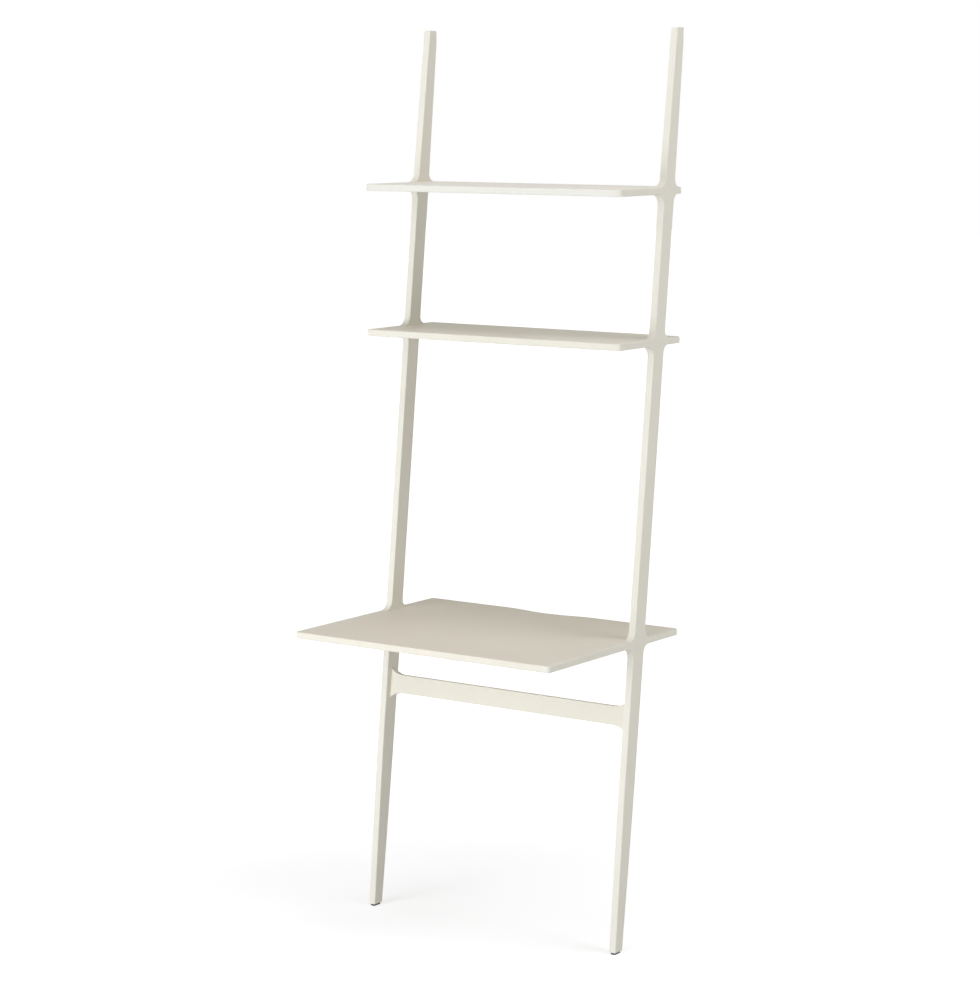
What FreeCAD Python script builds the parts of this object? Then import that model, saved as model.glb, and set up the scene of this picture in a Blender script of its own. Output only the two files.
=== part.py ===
import FreeCAD, Part
import math
import os
import re
import Sketcher

# Ladder desk: two leaning side frames carry a desk top and two shelves, with a stretcher
# under the desk.  The feet stand on the floor and the frame tips lean on a wall.
# +X is the user's right, +Y points back to the wall and +Z up.  The origin is on the floor,
# below the middle of the desk top.
#
# Inside each piece Y is counted from the front edge of the desk top, so the wall is at
# Y = desk_depth, and a side frame piece takes up X = 0 to frame_thickness.

DOC = FreeCAD.newDocument("ladder_desk")

SIZES = {
    # overall
    "overall_width": 722,
    "desk_depth": 555,
    "shelf_depth": 270,
    # from the floor to the desk's top face, on to each shelf's top face, and to the tips
    "desk_height": 735,
    "middle_gap": 696,
    "top_gap": 348,
    "tip_rise": 366,
    # stock
    "frame_thickness": 18,
    "board_thickness": 16,
    # leaning stile: its depth front to back at five places
    "lean_angle": 6.45,
    "foot_depth": 31.5,
    "calf_height": 380,
    "calf_depth": 44.5,
    "desk_crossing_depth": 46,
    "top_crossing_depth": 43.5,
    "tip_depth": 28,
    "tip_facet": 33,
    "tip_radius": 3,
    "foot_radius": 2.6,
    # arms: flared roots at the stile, rounded outer corner at the free end
    "front_flare_run": 27,
    "front_flare_rise": 20,
    "rear_flare_run": 22,
    "rear_flare_rise": 16,
    "corner_radius": 9,
    # cable scoop in the back edge of the desk top
    "scoop_length": 270,
    "scoop_depth": 15,
    # stretcher: height of its middle, depth of its bar and its flared ends
    "stretcher_height": 552.5,
    "stretcher_depth": 45,
    "stretcher_flare_run": 36,
    "stretcher_flare_rise": 15.5,
    # loose tenons through the stile into both arms
    "tenon_width": 12,
    "tenon_thickness": 6,
    "tenon_front_reach": 25,
    "tenon_rear_reach": 12,
    # wooden dowels between the boards and the side frames
    "dowel_diameter": 8,
    "dowel_length": 30,
    "dowel_in_frame": 10,
    "dowel_rear_inset": 12,
    "stretcher_dowel_spacing": 36,
    # cam locks and their bolts
    "cam_diameter": 15,
    "cam_height": 12,
    "cam_setback": 24,
    "cam_slot_diameter": 6.6,
    "cam_slot_reach": 4.5,
    "cam_cross_length": 9,
    "cam_cross_width": 1.6,
    "cam_cross_depth": 2,
    "cam_front_inset": 35,
    "cam_to_tenon": 20,
    "bolt_diameter": 4.8,
    "bolt_thread_length": 10.5,
    "bolt_head_diameter": 6,
    "bolt_head_length": 5,
    "bolt_bore_diameter": 7,
    # foot pads and their screws
    "pad_height": 4,
    "pad_inset": 3,
    "pad_corner": 3,
    "pad_screw_diameter": 3.5,
    "pad_screw_head": 7,
    "pad_screw_length": 25,
    # keyhole plates that hang the tips on the wall, and their screws
    "plate_width": 12,
    "plate_length": 26,
    "plate_thickness": 2,
    "plate_corner": 2,
    "keyhole_diameter": 7,
    "keyhole_slot_width": 3.6,
    "keyhole_slot_length": 5,
    "keyhole_drop": 2.5,
    "keyhole_pocket_width": 9,
    "keyhole_pocket_length": 16,
    "keyhole_pocket_depth": 6,
    "plate_screw_diameter": 2.6,
    "plate_screw_head": 5,
    "plate_screw_length": 12,
    "plate_screw_spacing": 20,
    # clearances
    "fit_clearance": 0.1,
    "end_clearance": 0.5,
    "plate_clearance": 0.2,
}

LEVELS = {
    "desk": {"board": "desk_top", "height": "desk_height", "front": "0", "rear_cam": True},
    "middle": {"board": "middle_shelf", "height": "middle_height", "front": "shelf_front",
               "rear_cam": True},
    "top": {"board": "top_shelf", "height": "top_height", "front": "shelf_front",
            "rear_cam": False},
}

# Derived places, worked out in a second sheet from the sizes.
LAYOUT = {
    "middle_height": "desk_height + middle_gap",
    "top_height": "middle_height + top_gap",
    "overall_height": "top_height + tip_rise",
    "inner_width": "overall_width - 2 * frame_thickness",
    "half_inner": "inner_width / 2",
    "frame_middle": "frame_thickness / 2",
    "board_middle": "board_thickness / 2",
    "shelf_front": "desk_depth - shelf_depth",
    "lean_slope": "tan(lean_angle * 1 deg)",
    "tip_centre": "desk_depth - tip_depth / 2",
    "tip_front": "desk_depth - tip_depth",
    "facet_start": "overall_height - tip_facet",
    "foot_centre": "tip_centre - lean_slope * (overall_height - pad_height)",
    "foot_front": "foot_centre - foot_depth / 2",
    "foot_back": "foot_centre + foot_depth / 2",
    "calf_centre": "tip_centre - lean_slope * (overall_height - calf_height)",
    "calf_front": "calf_centre - calf_depth / 2",
    "calf_back": "calf_centre + calf_depth / 2",
    "cam_place": "half_inner - cam_setback",
    "dowel_in_board": "dowel_length - dowel_in_frame",
    "plate_middle": "overall_height - tip_facet / 2",
    "keyhole_centre": "plate_middle - keyhole_drop",
    "keyhole_slot_top": "keyhole_centre + keyhole_diameter / 2 + keyhole_slot_length",
}


def stile_centre(height):
    """Y of the leaning centre line of the stile at a height."""
    return f"tip_centre - lean_slope * (overall_height - ({height}))"


def on_line(start, end, height):
    """Y at a height on the straight line between two (Y, Z) points."""
    (start_y, start_z), (end_y, end_z) = start, end
    return f"{start_y} + ({end_y} - {start_y}) * ({height} - ({start_z})) / ({end_z} - ({start_z}))"


# Corners (Y, Z) of the stile's front and back faces, from the foot up.
FACE_POINTS = {
    "front": {"foot": ("foot_front", "pad_height"), "calf": ("calf_front", "calf_height"),
              "desk": ("desk_stile_front", "desk_mid"), "top": ("top_stile_front", "top_mid"),
              "tip": ("tip_front", "overall_height")},
    "back": {"foot": ("foot_back", "pad_height"), "calf": ("calf_back", "calf_height"),
             "desk": ("desk_stile_back", "desk_mid"), "top": ("top_stile_back", "top_mid"),
             "tip": ("desk_depth", "facet_start")},
}

# The stretches of the stile that each crossing's lower and upper root corners lie on.
ROOT_STRETCHES = {
    "desk": (("calf", "desk"), ("desk", "top")),
    "middle": (("desk", "top"), ("desk", "top")),
    "top": (("desk", "top"), ("top", "tip")),
}
FLARES = {"front": ("front_flare_run", "front_flare_rise"),
          "back": ("rear_flare_run", "rear_flare_rise")}


def level_layout():
    """Places of each level: its mid height, the stile there, arm roots and fittings."""
    places = {}
    for level, facts in LEVELS.items():
        height, mid = facts["height"], f"{level}_mid"
        places[mid] = f"{height} - board_middle"
        if level == "middle":
            for face, points in FACE_POINTS.items():
                places[f"middle_stile_{face}"] = on_line(points["desk"], points["top"], mid)
        else:
            depth = f"{level}_crossing_depth"
            places[f"{level}_stile_front"] = f"{stile_centre(mid)} - {depth} / 2"
            places[f"{level}_stile_back"] = f"{stile_centre(mid)} + {depth} / 2"
        for face, (_, rise) in FLARES.items():
            low_z, high_z = f"{level}_{face}_low", f"{level}_{face}_high"
            places[low_z] = f"{height} - board_thickness - {rise}"
            places[high_z] = f"{height} + {rise}"
            for root, stretch in zip((low_z, high_z), ROOT_STRETCHES[level]):
                start, end = (FACE_POINTS[face][place] for place in stretch)
                places[f"{root}_y"] = on_line(start, end, root)
        places[f"{level}_near_cam"] = f"{level}_stile_front - tenon_front_reach - cam_to_tenon"
        places[f"{level}_far_cam"] = f"{facts['front']} + cam_front_inset"
        places[f"{level}_front_dowel"] = f"({level}_near_cam + {level}_far_cam) / 2"
        places[f"{level}_rear_dowel"] = "desk_depth - dowel_rear_inset"
        if facts["rear_cam"]:
            places[f"{level}_rear_cam"] = f"({level}_stile_back + desk_depth) / 2"
    return places


def stretcher_layout():
    """Places of the stretcher, whose own Y runs up the bar from its lower flared corner."""
    return {
        "stretcher_middle": "stretcher_depth / 2 + stretcher_flare_rise",
        "stretcher_low": "stretcher_flare_rise",
        "stretcher_high": "stretcher_flare_rise + stretcher_depth",
        "stretcher_full": "stretcher_depth + 2 * stretcher_flare_rise",
        "stretcher_bar_end": "half_inner - stretcher_flare_run",
        "stretcher_centre_y": stile_centre("stretcher_height"),
        "dowel_climb": "stretcher_dowel_spacing / 2 * cos(lean_angle * 1 deg)",
        "stretcher_origin_y": "stretcher_centre_y - desk_depth / 2"
                              " - stretcher_middle * sin(lean_angle * 1 deg)"
                              " + board_middle * cos(lean_angle * 1 deg)",
        "stretcher_origin_z": "stretcher_height"
                              " - stretcher_middle * cos(lean_angle * 1 deg)"
                              " - board_middle * sin(lean_angle * 1 deg)",
    }


LAYOUT.update(level_layout())
LAYOUT.update(stretcher_layout())


# ---------------------------------------------------------------- sheets and expressions

def bound(text):
    """Names of sizes and places turned into references to their sheets."""
    def reference(match):
        word = match.group(0)
        if word in SIZES:
            return f"sizes.{word}"
        return f"layout.{word}" if word in LAYOUT else word
    return re.sub(r"[a-z_]+", reference, text)


def make_sheet(name, cells):
    sheet = DOC.addObject("Spreadsheet::Sheet", name)
    for row, (alias, content) in enumerate(cells.items(), 1):
        sheet.set(f"A{row}", alias.replace("_", " "))
        sheet.set(f"B{row}", content)
        sheet.setAlias(f"B{row}", alias)
    return sheet


SIZE_SHEET = make_sheet("sizes", {name: str(value) for name, value in SIZES.items()})
make_sheet("layout", {name: "=" + bound(text) for name, text in LAYOUT.items()})
DOC.recompute()


def number(text):
    value = SIZE_SHEET.evalExpression(bound(text))
    return float(getattr(value, "Value", value))


def bind(thing, path, text):
    thing.setExpression(path, bound(text))


def put(thing, place, turn=None):
    """Bind a placement to (x, y, z) and, where given, to a turn of (axis, angle)."""
    if turn:
        axis, angle = turn
        thing.Placement = FreeCAD.Placement(FreeCAD.Vector(), FreeCAD.Rotation(axis, number(angle)))
        bind(thing, "Placement.Rotation.Angle", f"({angle}) * 1 deg")
    for letter, text in zip("xyz", place):
        bind(thing, f"Placement.Base.{letter}", text)


X_AXIS = FreeCAD.Vector(1, 0, 0)
ALONG_X = FreeCAD.Rotation(FreeCAD.Vector(0, 1, 0), 90)
ALONG_Y = FreeCAD.Rotation(FreeCAD.Vector(1, 0, 0), -90)
ALONG_Z = FreeCAD.Rotation()
TOWARDS_FRONT = FreeCAD.Rotation(FreeCAD.Vector(1, 0, 0), 90)


# ---------------------------------------------------------------- sketches

def sketch_on(body, role, name, offset=None):
    """A sketch on one of the body's own origin planes, moved along its normal by offset."""
    sketch = body.newObject("Sketcher::SketchObject", name)
    plane = next(item for item in body.Origin.OriginFeatures if item.Role == role)
    sketch.AttachmentSupport = (plane, "")
    sketch.MapMode = "FlatFace"
    if offset:
        bind(sketch, "AttachmentOffset.Base.z", offset)
    return sketch


def tie_point(sketch, shape, end, x_text, y_text):
    """Hold one sketch point at expressions for its two coordinates."""
    values = (("DistanceX", x_text, -2), ("DistanceY", y_text, -1))
    for kind, text, axis in values:
        if text == "0":
            sketch.addConstraint(Sketcher.Constraint("PointOnObject", shape, end, axis))
            continue
        datum = Sketcher.Constraint(kind, -1, 1, shape, end, number(text))
        index = sketch.addConstraint(datum)
        name = f"point{shape}_{kind[-1].lower()}"
        sketch.renameConstraint(index, name)
        bind(sketch, f"Constraints.{name}", text)


def arc_through(start, end, direction):
    """Arc from start to end that leaves in a direction; says if it turns clockwise."""
    chord = end - start
    lead = math.atan2(chord.x * direction.y - chord.y * direction.x,
                      chord.x * direction.x + chord.y * direction.y)
    clockwise = lead > 0
    radius = chord.Length / (2 * math.sin(abs(lead)))
    side = direction.normalize()
    side = FreeCAD.Vector(side.y, -side.x) if clockwise else FreeCAD.Vector(-side.y, side.x)
    centre = start + side * radius
    first, last = (end, start) if clockwise else (start, end)
    first_angle = math.atan2(first.y - centre.y, first.x - centre.x)
    last_angle = math.atan2(last.y - centre.y, last.x - centre.x)
    circle = Part.Circle(centre, FreeCAD.Vector(0, 0, 1), radius)
    return Part.ArcOfCircle(circle, first_angle, last_angle), clockwise


def leaving_direction(points, tangent_end, index, at_end):
    """Direction of travel at one end of a segment; an arc's follows from its neighbour."""
    count = len(points)
    chord = points[(index + 1) % count] - points[index]
    if index not in tangent_end:
        return chord
    tangent_at_end = tangent_end[index] == "end"
    neighbour = (index + 1) % count if tangent_at_end else (index - 1) % count
    known = leaving_direction(points, tangent_end, neighbour, not tangent_at_end)
    if at_end == tangent_at_end:
        return known
    unit = FreeCAD.Vector(chord).normalize()
    return unit * (2 * known.dot(unit)) - known


def outline(sketch, points, arcs=None, mirrored=False):
    """Closed outline through points given as expressions.

    arcs maps a segment's number to the end, start or end, where it runs smoothly into its
    neighbour.  With mirrored, the points are the right half and the left half follows them.
    """
    arcs = arcs or {}
    corners = [FreeCAD.Vector(number(x), number(y)) for x, y in points]
    half = len(corners)
    tangent_end = dict(arcs)
    if mirrored:
        corners += [FreeCAD.Vector(-corner.x, corner.y) for corner in reversed(corners)]
        swapped = {"start": "end", "end": "start"}
        for index, end in arcs.items():
            if index < half - 1:
                tangent_end[2 * half - 2 - index] = swapped[end]
    count = len(corners)
    ends = []
    for index in range(count):
        start, stop = corners[index], corners[(index + 1) % count]
        clockwise = False
        if index in tangent_end:
            direction = leaving_direction(corners, tangent_end, index, False)
            shape, clockwise = arc_through(start, stop, FreeCAD.Vector(direction))
        else:
            shape = Part.LineSegment(start, stop)
        sketch.addGeometry(shape)
        ends.append((2, 1) if clockwise else (1, 2))
    first = sketch.GeometryCount - count
    for index in range(count):
        before = (index - 1) % count
        smooth = tangent_end.get(before) == "end" or tangent_end.get(index) == "start"
        sketch.addConstraint(Sketcher.Constraint(
            "Tangent" if smooth else "Coincident",
            first + before, ends[before][1], first + index, ends[index][0]))
    for index, (x_text, y_text) in enumerate(points):
        tie_point(sketch, first + index, ends[index][0], x_text, y_text)
        if mirrored:
            twin = count - 1 - index
            sketch.addConstraint(Sketcher.Constraint(
                "Symmetric", first + index, ends[index][0], first + twin, ends[twin][0], -2))


def circles(sketch, centres, diameter):
    """Equal circles at centres given as expressions."""
    for index, (x_text, y_text) in enumerate(centres):
        centre = FreeCAD.Vector(number(x_text), number(y_text))
        circle = Part.Circle(centre, FreeCAD.Vector(0, 0, 1), number(diameter) / 2)
        shape = sketch.addGeometry(circle)
        tie_point(sketch, shape, 3, x_text, y_text)
        if index == 0:
            datum = Sketcher.Constraint("Diameter", shape, number(diameter))
            sketch.renameConstraint(sketch.addConstraint(datum), "diameter")
            bind(sketch, "Constraints.diameter", diameter)
            first = shape
        else:
            sketch.addConstraint(Sketcher.Constraint("Equal", first, shape))


def flat_slot(sketch, centre_x, centre_y, width, thickness):
    """Slot with round ends, wide along the sketch's X."""
    left = f"{centre_x} - ({width}) / 2 + ({thickness}) / 2"
    right = f"{centre_x} + ({width}) / 2 - ({thickness}) / 2"
    low = f"{centre_y} - ({thickness}) / 2"
    high = f"{centre_y} + ({thickness}) / 2"
    outline(sketch, [(left, low), (right, low), (right, high), (left, high)],
            {1: "start", 3: "start"})


def rectangle(sketch, left, right, low, high):
    outline(sketch, [(left, low), (right, low), (right, high), (left, high)])


# ---------------------------------------------------------------- features

def make_body(label, place, turn=None):
    body = DOC.addObject("PartDesign::Body", label)
    body.Label = label
    put(body, place, turn)
    return body


def pad(body, sketch, length):
    feature = body.newObject("PartDesign::Pad", f"{sketch.Name}_pad")
    feature.Profile = sketch
    bind(feature, "Length", length)
    return feature


def pocket(body, sketch, length=None, towards_normal=False):
    """Cut away from the sketch's normal, or along it; right through where no length is given."""
    feature = body.newObject("PartDesign::Pocket", f"{sketch.Name}_pocket")
    feature.Profile = sketch
    feature.Reversed = towards_normal
    if length:
        bind(feature, "Length", length)
    else:
        feature.Type = "ThroughAll"
    return feature


def near(first, second):
    return abs(first - second) < 1e-3


def dress(body, kind, amount_property, amount, name, chosen):
    """Fillet or chamfer on the tip feature's edges that chosen accepts."""
    DOC.recompute()
    base = body.Tip
    edges = [f"Edge{index}" for index, edge in enumerate(base.Shape.Edges, 1) if chosen(edge)]
    feature = body.newObject(kind, name)
    feature.Base = (base, edges)
    bind(feature, amount_property, amount)
    return feature


def round_edges(body, radius, name, chosen):
    return dress(body, "PartDesign::Fillet", "Radius", radius, name, chosen)


def chamfer_edges(body, size, name, chosen):
    return dress(body, "PartDesign::Chamfer", "Size", size, name, chosen)


def group(label, solids, place, turn=None):
    """Separate solids that share one node."""
    compound = DOC.addObject("Part::Compound", label)
    compound.Label = label
    compound.Links = solids
    put(compound, place, turn)
    return compound


def cylinder(name, place, rotation, diameter, length):
    solid = DOC.addObject("Part::Cylinder", name)
    solid.Placement = FreeCAD.Placement(FreeCAD.Vector(), rotation)
    put(solid, place)
    bind(solid, "Radius", f"({diameter}) / 2")
    bind(solid, "Height", length)
    return solid


def cone(name, place, rotation, start_diameter, end_diameter, length):
    solid = DOC.addObject("Part::Cone", name)
    solid.Placement = FreeCAD.Placement(FreeCAD.Vector(), rotation)
    put(solid, place)
    bind(solid, "Radius1", f"({start_diameter}) / 2")
    bind(solid, "Radius2", f"({end_diameter}) / 2")
    bind(solid, "Height", length)
    return solid


def box(name, place, lengths):
    solid = DOC.addObject("Part::Box", name)
    put(solid, place)
    for side, text in zip(("Length", "Width", "Height"), lengths):
        bind(solid, side, text)
    return solid


def fuse(name, solids):
    whole = DOC.addObject("Part::MultiFuse", name)
    whole.Shapes = solids
    whole.Refine = True
    return whole


def cut(name, base, tools):
    rest = DOC.addObject("Part::Cut", name)
    rest.Base = base
    rest.Tool = fuse(f"{name}_tools", tools) if len(tools) > 1 else tools[0]
    return rest


# ---------------------------------------------------------------- side frames

SIDES = {"left": "-overall_width / 2", "right": "overall_width / 2 - frame_thickness"}
DESK_FRONT = "-desk_depth / 2"
FRAME_FITTINGS = {"front": ("near_cam", "far_cam", "front_dowel"),
                  "back": ("rear_cam", "rear_dowel")}


def frame_place(side):
    return (SIDES[side], DESK_FRONT, "0")


def outer_face(side):
    return "0" if side == "left" else "frame_thickness"


def inner_holes(body, side, name, centres, diameter, depth):
    """Blind holes in the face that looks at the boards."""
    offset = "frame_thickness" if side == "left" else None
    sketch = sketch_on(body, "YZ_Plane", name, offset)
    circles(sketch, centres, diameter)
    pocket(body, sketch, depth, towards_normal=side == "right")


def make_stile(side):
    body = make_body(f"{side}_stile", frame_place(side))
    profile = sketch_on(body, "YZ_Plane", f"{side}_stile_profile")
    rising = list(FACE_POINTS["front"].values())
    falling = [("desk_depth", "overall_height")] + list(FACE_POINTS["back"].values())[::-1]
    outline(profile, rising + falling)
    pad(body, profile, "frame_thickness")
    height, foot = number("overall_height"), number("pad_height")
    round_edges(body, "tip_radius", f"{side}_tip_rounding", lambda edge: all(
        near(corner.Point.z, height) for corner in edge.Vertexes)
        and near(edge.Length, number("frame_thickness")))
    round_edges(body, "foot_radius", f"{side}_foot_rounding", lambda edge: all(
        near(corner.Point.z, foot) for corner in edge.Vertexes))

    mortises = sketch_on(body, "XZ_Plane", f"{side}_mortises")
    for level in LEVELS:
        flat_slot(mortises, "frame_middle", f"{level}_mid",
                  "tenon_width + 2 * fit_clearance", "tenon_thickness + 2 * fit_clearance")
    pocket(body, mortises)

    low, high = "stretcher_height - dowel_climb", "stretcher_height + dowel_climb"
    inner_holes(body, side, f"{side}_stretcher_dowel_holes",
                [(stile_centre(low), low), (stile_centre(high), high)],
                "dowel_diameter + 2 * fit_clearance", "dowel_in_frame + end_clearance")
    inner_holes(body, side, f"{side}_stretcher_bolt_hole",
                [("stretcher_centre_y", "stretcher_height")],
                "bolt_diameter + 2 * fit_clearance", "bolt_thread_length + end_clearance")

    screw_hole = sketch_on(body, "XY_Plane", f"{side}_foot_screw_hole", "pad_height")
    circles(screw_hole, [("frame_middle", "foot_centre")], "pad_screw_diameter + 2 * fit_clearance")
    pocket(body, screw_hole, "pad_screw_length - pad_height + end_clearance", towards_normal=True)

    seat = sketch_on(body, "XZ_Plane", f"{side}_plate_seat", "-desk_depth")
    half_width = "(plate_width / 2 + plate_clearance)"
    half_length = "(plate_length / 2 + plate_clearance)"
    rectangle(seat, f"frame_middle - {half_width}", f"frame_middle + {half_width}",
              f"plate_middle - {half_length}", f"plate_middle + {half_length}")
    pocket(body, seat, "plate_thickness", towards_normal=True)
    head_room = sketch_on(body, "XZ_Plane", f"{side}_keyhole_pocket", "-desk_depth")
    half_width, half_length = "keyhole_pocket_width / 2", "keyhole_pocket_length / 2"
    rectangle(head_room, f"frame_middle - {half_width}", f"frame_middle + {half_width}",
              f"plate_middle - {half_length}", f"plate_middle + {half_length}")
    pocket(body, head_room, "plate_thickness + keyhole_pocket_depth", towards_normal=True)
    pilots = sketch_on(body, "XZ_Plane", f"{side}_plate_pilots", "-desk_depth")
    circles(pilots, plate_screw_places(), "plate_screw_diameter + 2 * fit_clearance")
    pocket(body, pilots, "plate_screw_length + end_clearance", towards_normal=True)
    return body


def arm_outline(level, face, tip):
    """Corners of an arm in (Y, Z): its free end, then its flared root on the stile."""
    run = FLARES[face][0]
    height = LEVELS[level]["height"]
    underside = f"{height} - board_thickness"
    name = f"{level}_{face}"
    outward = "-" if face == "front" else "+"
    bar_end = f"{level}_stile_{face} {outward} {run}"
    return [(tip, underside), (bar_end, underside),
            (f"{name}_low_y", f"{name}_low"), (f"{level}_stile_{face}", f"{level}_mid"),
            (f"{name}_high_y", f"{name}_high"), (bar_end, height), (tip, height)]


def make_arm(side, level, face):
    facts = LEVELS[level]
    tip = facts["front"] if face == "front" else "desk_depth"
    word = "front" if face == "front" else "rear"
    label = f"{side}_{level}_{word}_arm"
    body = make_body(label, frame_place(side))
    profile = sketch_on(body, "YZ_Plane", f"{label}_profile")
    outline(profile, arm_outline(level, face, tip), {1: "start", 4: "end"})
    pad(body, profile, "frame_thickness")
    tip_y, outer_x = number(tip), number(outer_face(side))
    round_edges(body, "corner_radius", f"{label}_corner", lambda edge: all(
        near(corner.Point.y, tip_y) and near(corner.Point.x, outer_x)
        for corner in edge.Vertexes))

    reach = ("tenon_front_reach" if face == "front" else "tenon_rear_reach")
    outward = "-" if face == "front" else "+"
    mortise_end = f"({level}_stile_{face} {outward} ({reach} + end_clearance))"
    mortise = sketch_on(body, "XZ_Plane", f"{label}_mortise", f"-{mortise_end}")
    flat_slot(mortise, "frame_middle", f"{level}_mid",
              "tenon_width + 2 * fit_clearance", "tenon_thickness + 2 * fit_clearance")
    pocket(body, mortise, towards_normal=face == "back")

    fittings = [name for name in FRAME_FITTINGS[face] if f"{level}_{name}" in LAYOUT]
    dowels = [(f"{level}_{name}", f"{level}_mid") for name in fittings if "dowel" in name]
    bolts = [(f"{level}_{name}", f"{level}_mid") for name in fittings if "cam" in name]
    inner_holes(body, side, f"{label}_dowel_holes", dowels,
                "dowel_diameter + 2 * fit_clearance", "dowel_in_frame + end_clearance")
    if bolts:
        inner_holes(body, side, f"{label}_bolt_holes", bolts,
                    "bolt_diameter + 2 * fit_clearance", "bolt_thread_length + end_clearance")
    return body


def make_tenons(side):
    """Loose tenons that run through the stile into the arms in front of and behind it."""
    tenons = []
    for level in LEVELS:
        name = f"{side}_{level}_tenon"
        start = f"{level}_stile_front - tenon_front_reach"
        length = f"{level}_stile_back + tenon_rear_reach - ({start})"
        flat = "tenon_width / 2 - tenon_thickness / 2"
        low = f"{level}_mid - tenon_thickness / 2"
        core = box(f"{name}_core", (f"frame_middle - ({flat})", start, low),
                   (f"2 * ({flat})", length, "tenon_thickness"))
        rounds = [cylinder(f"{name}_round_{word}", (f"frame_middle {sign} ({flat})", start,
                                                    f"{level}_mid"),
                           ALONG_Y, "tenon_thickness", length)
                  for word, sign in (("inner", "-"), ("outer", "+"))]
        tenons.append(fuse(name, [core] + rounds))
    return group(f"{side}_arm_tenons", tenons, frame_place(side))


# ---------------------------------------------------------------- boards and stretcher

def board_place(level):
    return ("0", DESK_FRONT, f"{LEVELS[level]['height']} - board_thickness")


def end_bores(body, name, cams, dowels):
    """Cam, bolt and dowel bores at the right end of a board, and the same at its left end."""
    cam_sketch = sketch_on(body, "XY_Plane", f"{name}_cam_bores")
    circles(cam_sketch, [("cam_place", y) for y in cams], "cam_diameter + 2 * fit_clearance")
    bolt_sketch = sketch_on(body, "YZ_Plane", f"{name}_bolt_bores", "half_inner")
    circles(bolt_sketch, [(y, "board_middle") for y in cams], "bolt_bore_diameter")
    dowel_sketch = sketch_on(body, "YZ_Plane", f"{name}_dowel_bores", "half_inner")
    circles(dowel_sketch, [(y, "board_middle") for y in dowels],
            "dowel_diameter + 2 * fit_clearance")
    bores = [pocket(body, cam_sketch, "cam_height + end_clearance", towards_normal=True),
             pocket(body, bolt_sketch, "cam_setback"),
             pocket(body, dowel_sketch, "dowel_in_board + end_clearance")]
    mirror = body.newObject("PartDesign::Mirrored", f"{name}_other_end")
    mirror.Originals = bores
    plane = next(item for item in body.Origin.OriginFeatures if item.Role == "YZ_Plane")
    mirror.MirrorPlane = (plane, [""])
    body.Tip = mirror


def make_board(label, points, arcs, place, fittings, turn=None):
    body = make_body(label, place, turn)
    profile = sketch_on(body, "XY_Plane", f"{label}_profile")
    outline(profile, points, arcs, mirrored=True)
    pad(body, profile, "board_thickness")
    end_bores(body, label, *fittings)
    return body


def level_fittings(level):
    """Places along Y of one level's cams and of its dowels."""
    names = [name for face in ("front", "back") for name in FRAME_FITTINGS[face]
             if f"{level}_{name}" in LAYOUT]
    cams = [f"{level}_{name}" for name in names if "cam" in name]
    dowels = [f"{level}_{name}" for name in names if "dowel" in name]
    return cams, dowels


def cam_lock(name, end, y_text):
    """Cam with a slot for the bolt's head and a cross for the screwdriver."""
    sign = "" if end == "right" else "-"
    centre = f"{sign}cam_place"
    drum = cylinder(f"{name}_drum", (centre, y_text, "0"), ALONG_Z, "cam_diameter", "cam_height")
    slot_length = "(cam_slot_reach + cam_diameter)"
    slot_start = f"{centre} - cam_slot_reach" if end == "right" else f"{centre} - cam_diameter"
    slot = cylinder(f"{name}_slot", (slot_start, y_text, "board_middle"), ALONG_X,
                    "cam_slot_diameter", slot_length)
    long_half, short_half = "cam_cross_length / 2", "cam_cross_width / 2"
    cross = [
        box(f"{name}_cross_one", (f"{centre} - {long_half}", f"{y_text} - {short_half}", "0"),
            ("cam_cross_length", "cam_cross_width", "cam_cross_depth")),
        box(f"{name}_cross_two", (f"{centre} - {short_half}", f"{y_text} - {long_half}", "0"),
            ("cam_cross_width", "cam_cross_length", "cam_cross_depth")),
    ]
    return cut(name, drum, [slot] + cross)


def cam_bolt(name, end, y_text):
    """Bolt screwed into the side frame, with its head in the cam."""
    head_half = "bolt_head_length / 2"
    if end == "right":
        shank_start, head_start = "cam_place", f"cam_place - {head_half}"
    else:
        shank_start = "-half_inner - bolt_thread_length"
        head_start = f"-cam_place - {head_half}"
    shank = cylinder(f"{name}_shank", (shank_start, y_text, "board_middle"), ALONG_X,
                     "bolt_diameter", "cam_setback + bolt_thread_length")
    head = cylinder(f"{name}_head", (head_start, y_text, "board_middle"), ALONG_X,
                    "bolt_head_diameter", "bolt_head_length")
    return fuse(name, [shank, head])


def dowel(name, end, y_text):
    start = "half_inner - dowel_in_board" if end == "right" else "-half_inner - dowel_in_frame"
    return cylinder(name, (start, y_text, "board_middle"), ALONG_X,
                    "dowel_diameter", "dowel_length")


def make_fittings(label, fittings, place, turn=None):
    """The cams, bolts and dowels of one board, each kind in a node of its own."""
    cams, dowels = fittings
    makers = {"cam_locks": (cam_lock, cams), "cam_bolts": (cam_bolt, cams),
              "dowels": (dowel, dowels)}
    groups = []
    for kind, (maker, places) in makers.items():
        solids = [maker(f"{label}_{kind}_{end}_{index}", end, y_text)
                  for end in ("left", "right") for index, y_text in enumerate(places, 1)]
        groups.append(group(f"{label}_{kind}", solids, place, turn))
    return groups


# ---------------------------------------------------------------- feet and wall plates

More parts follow.
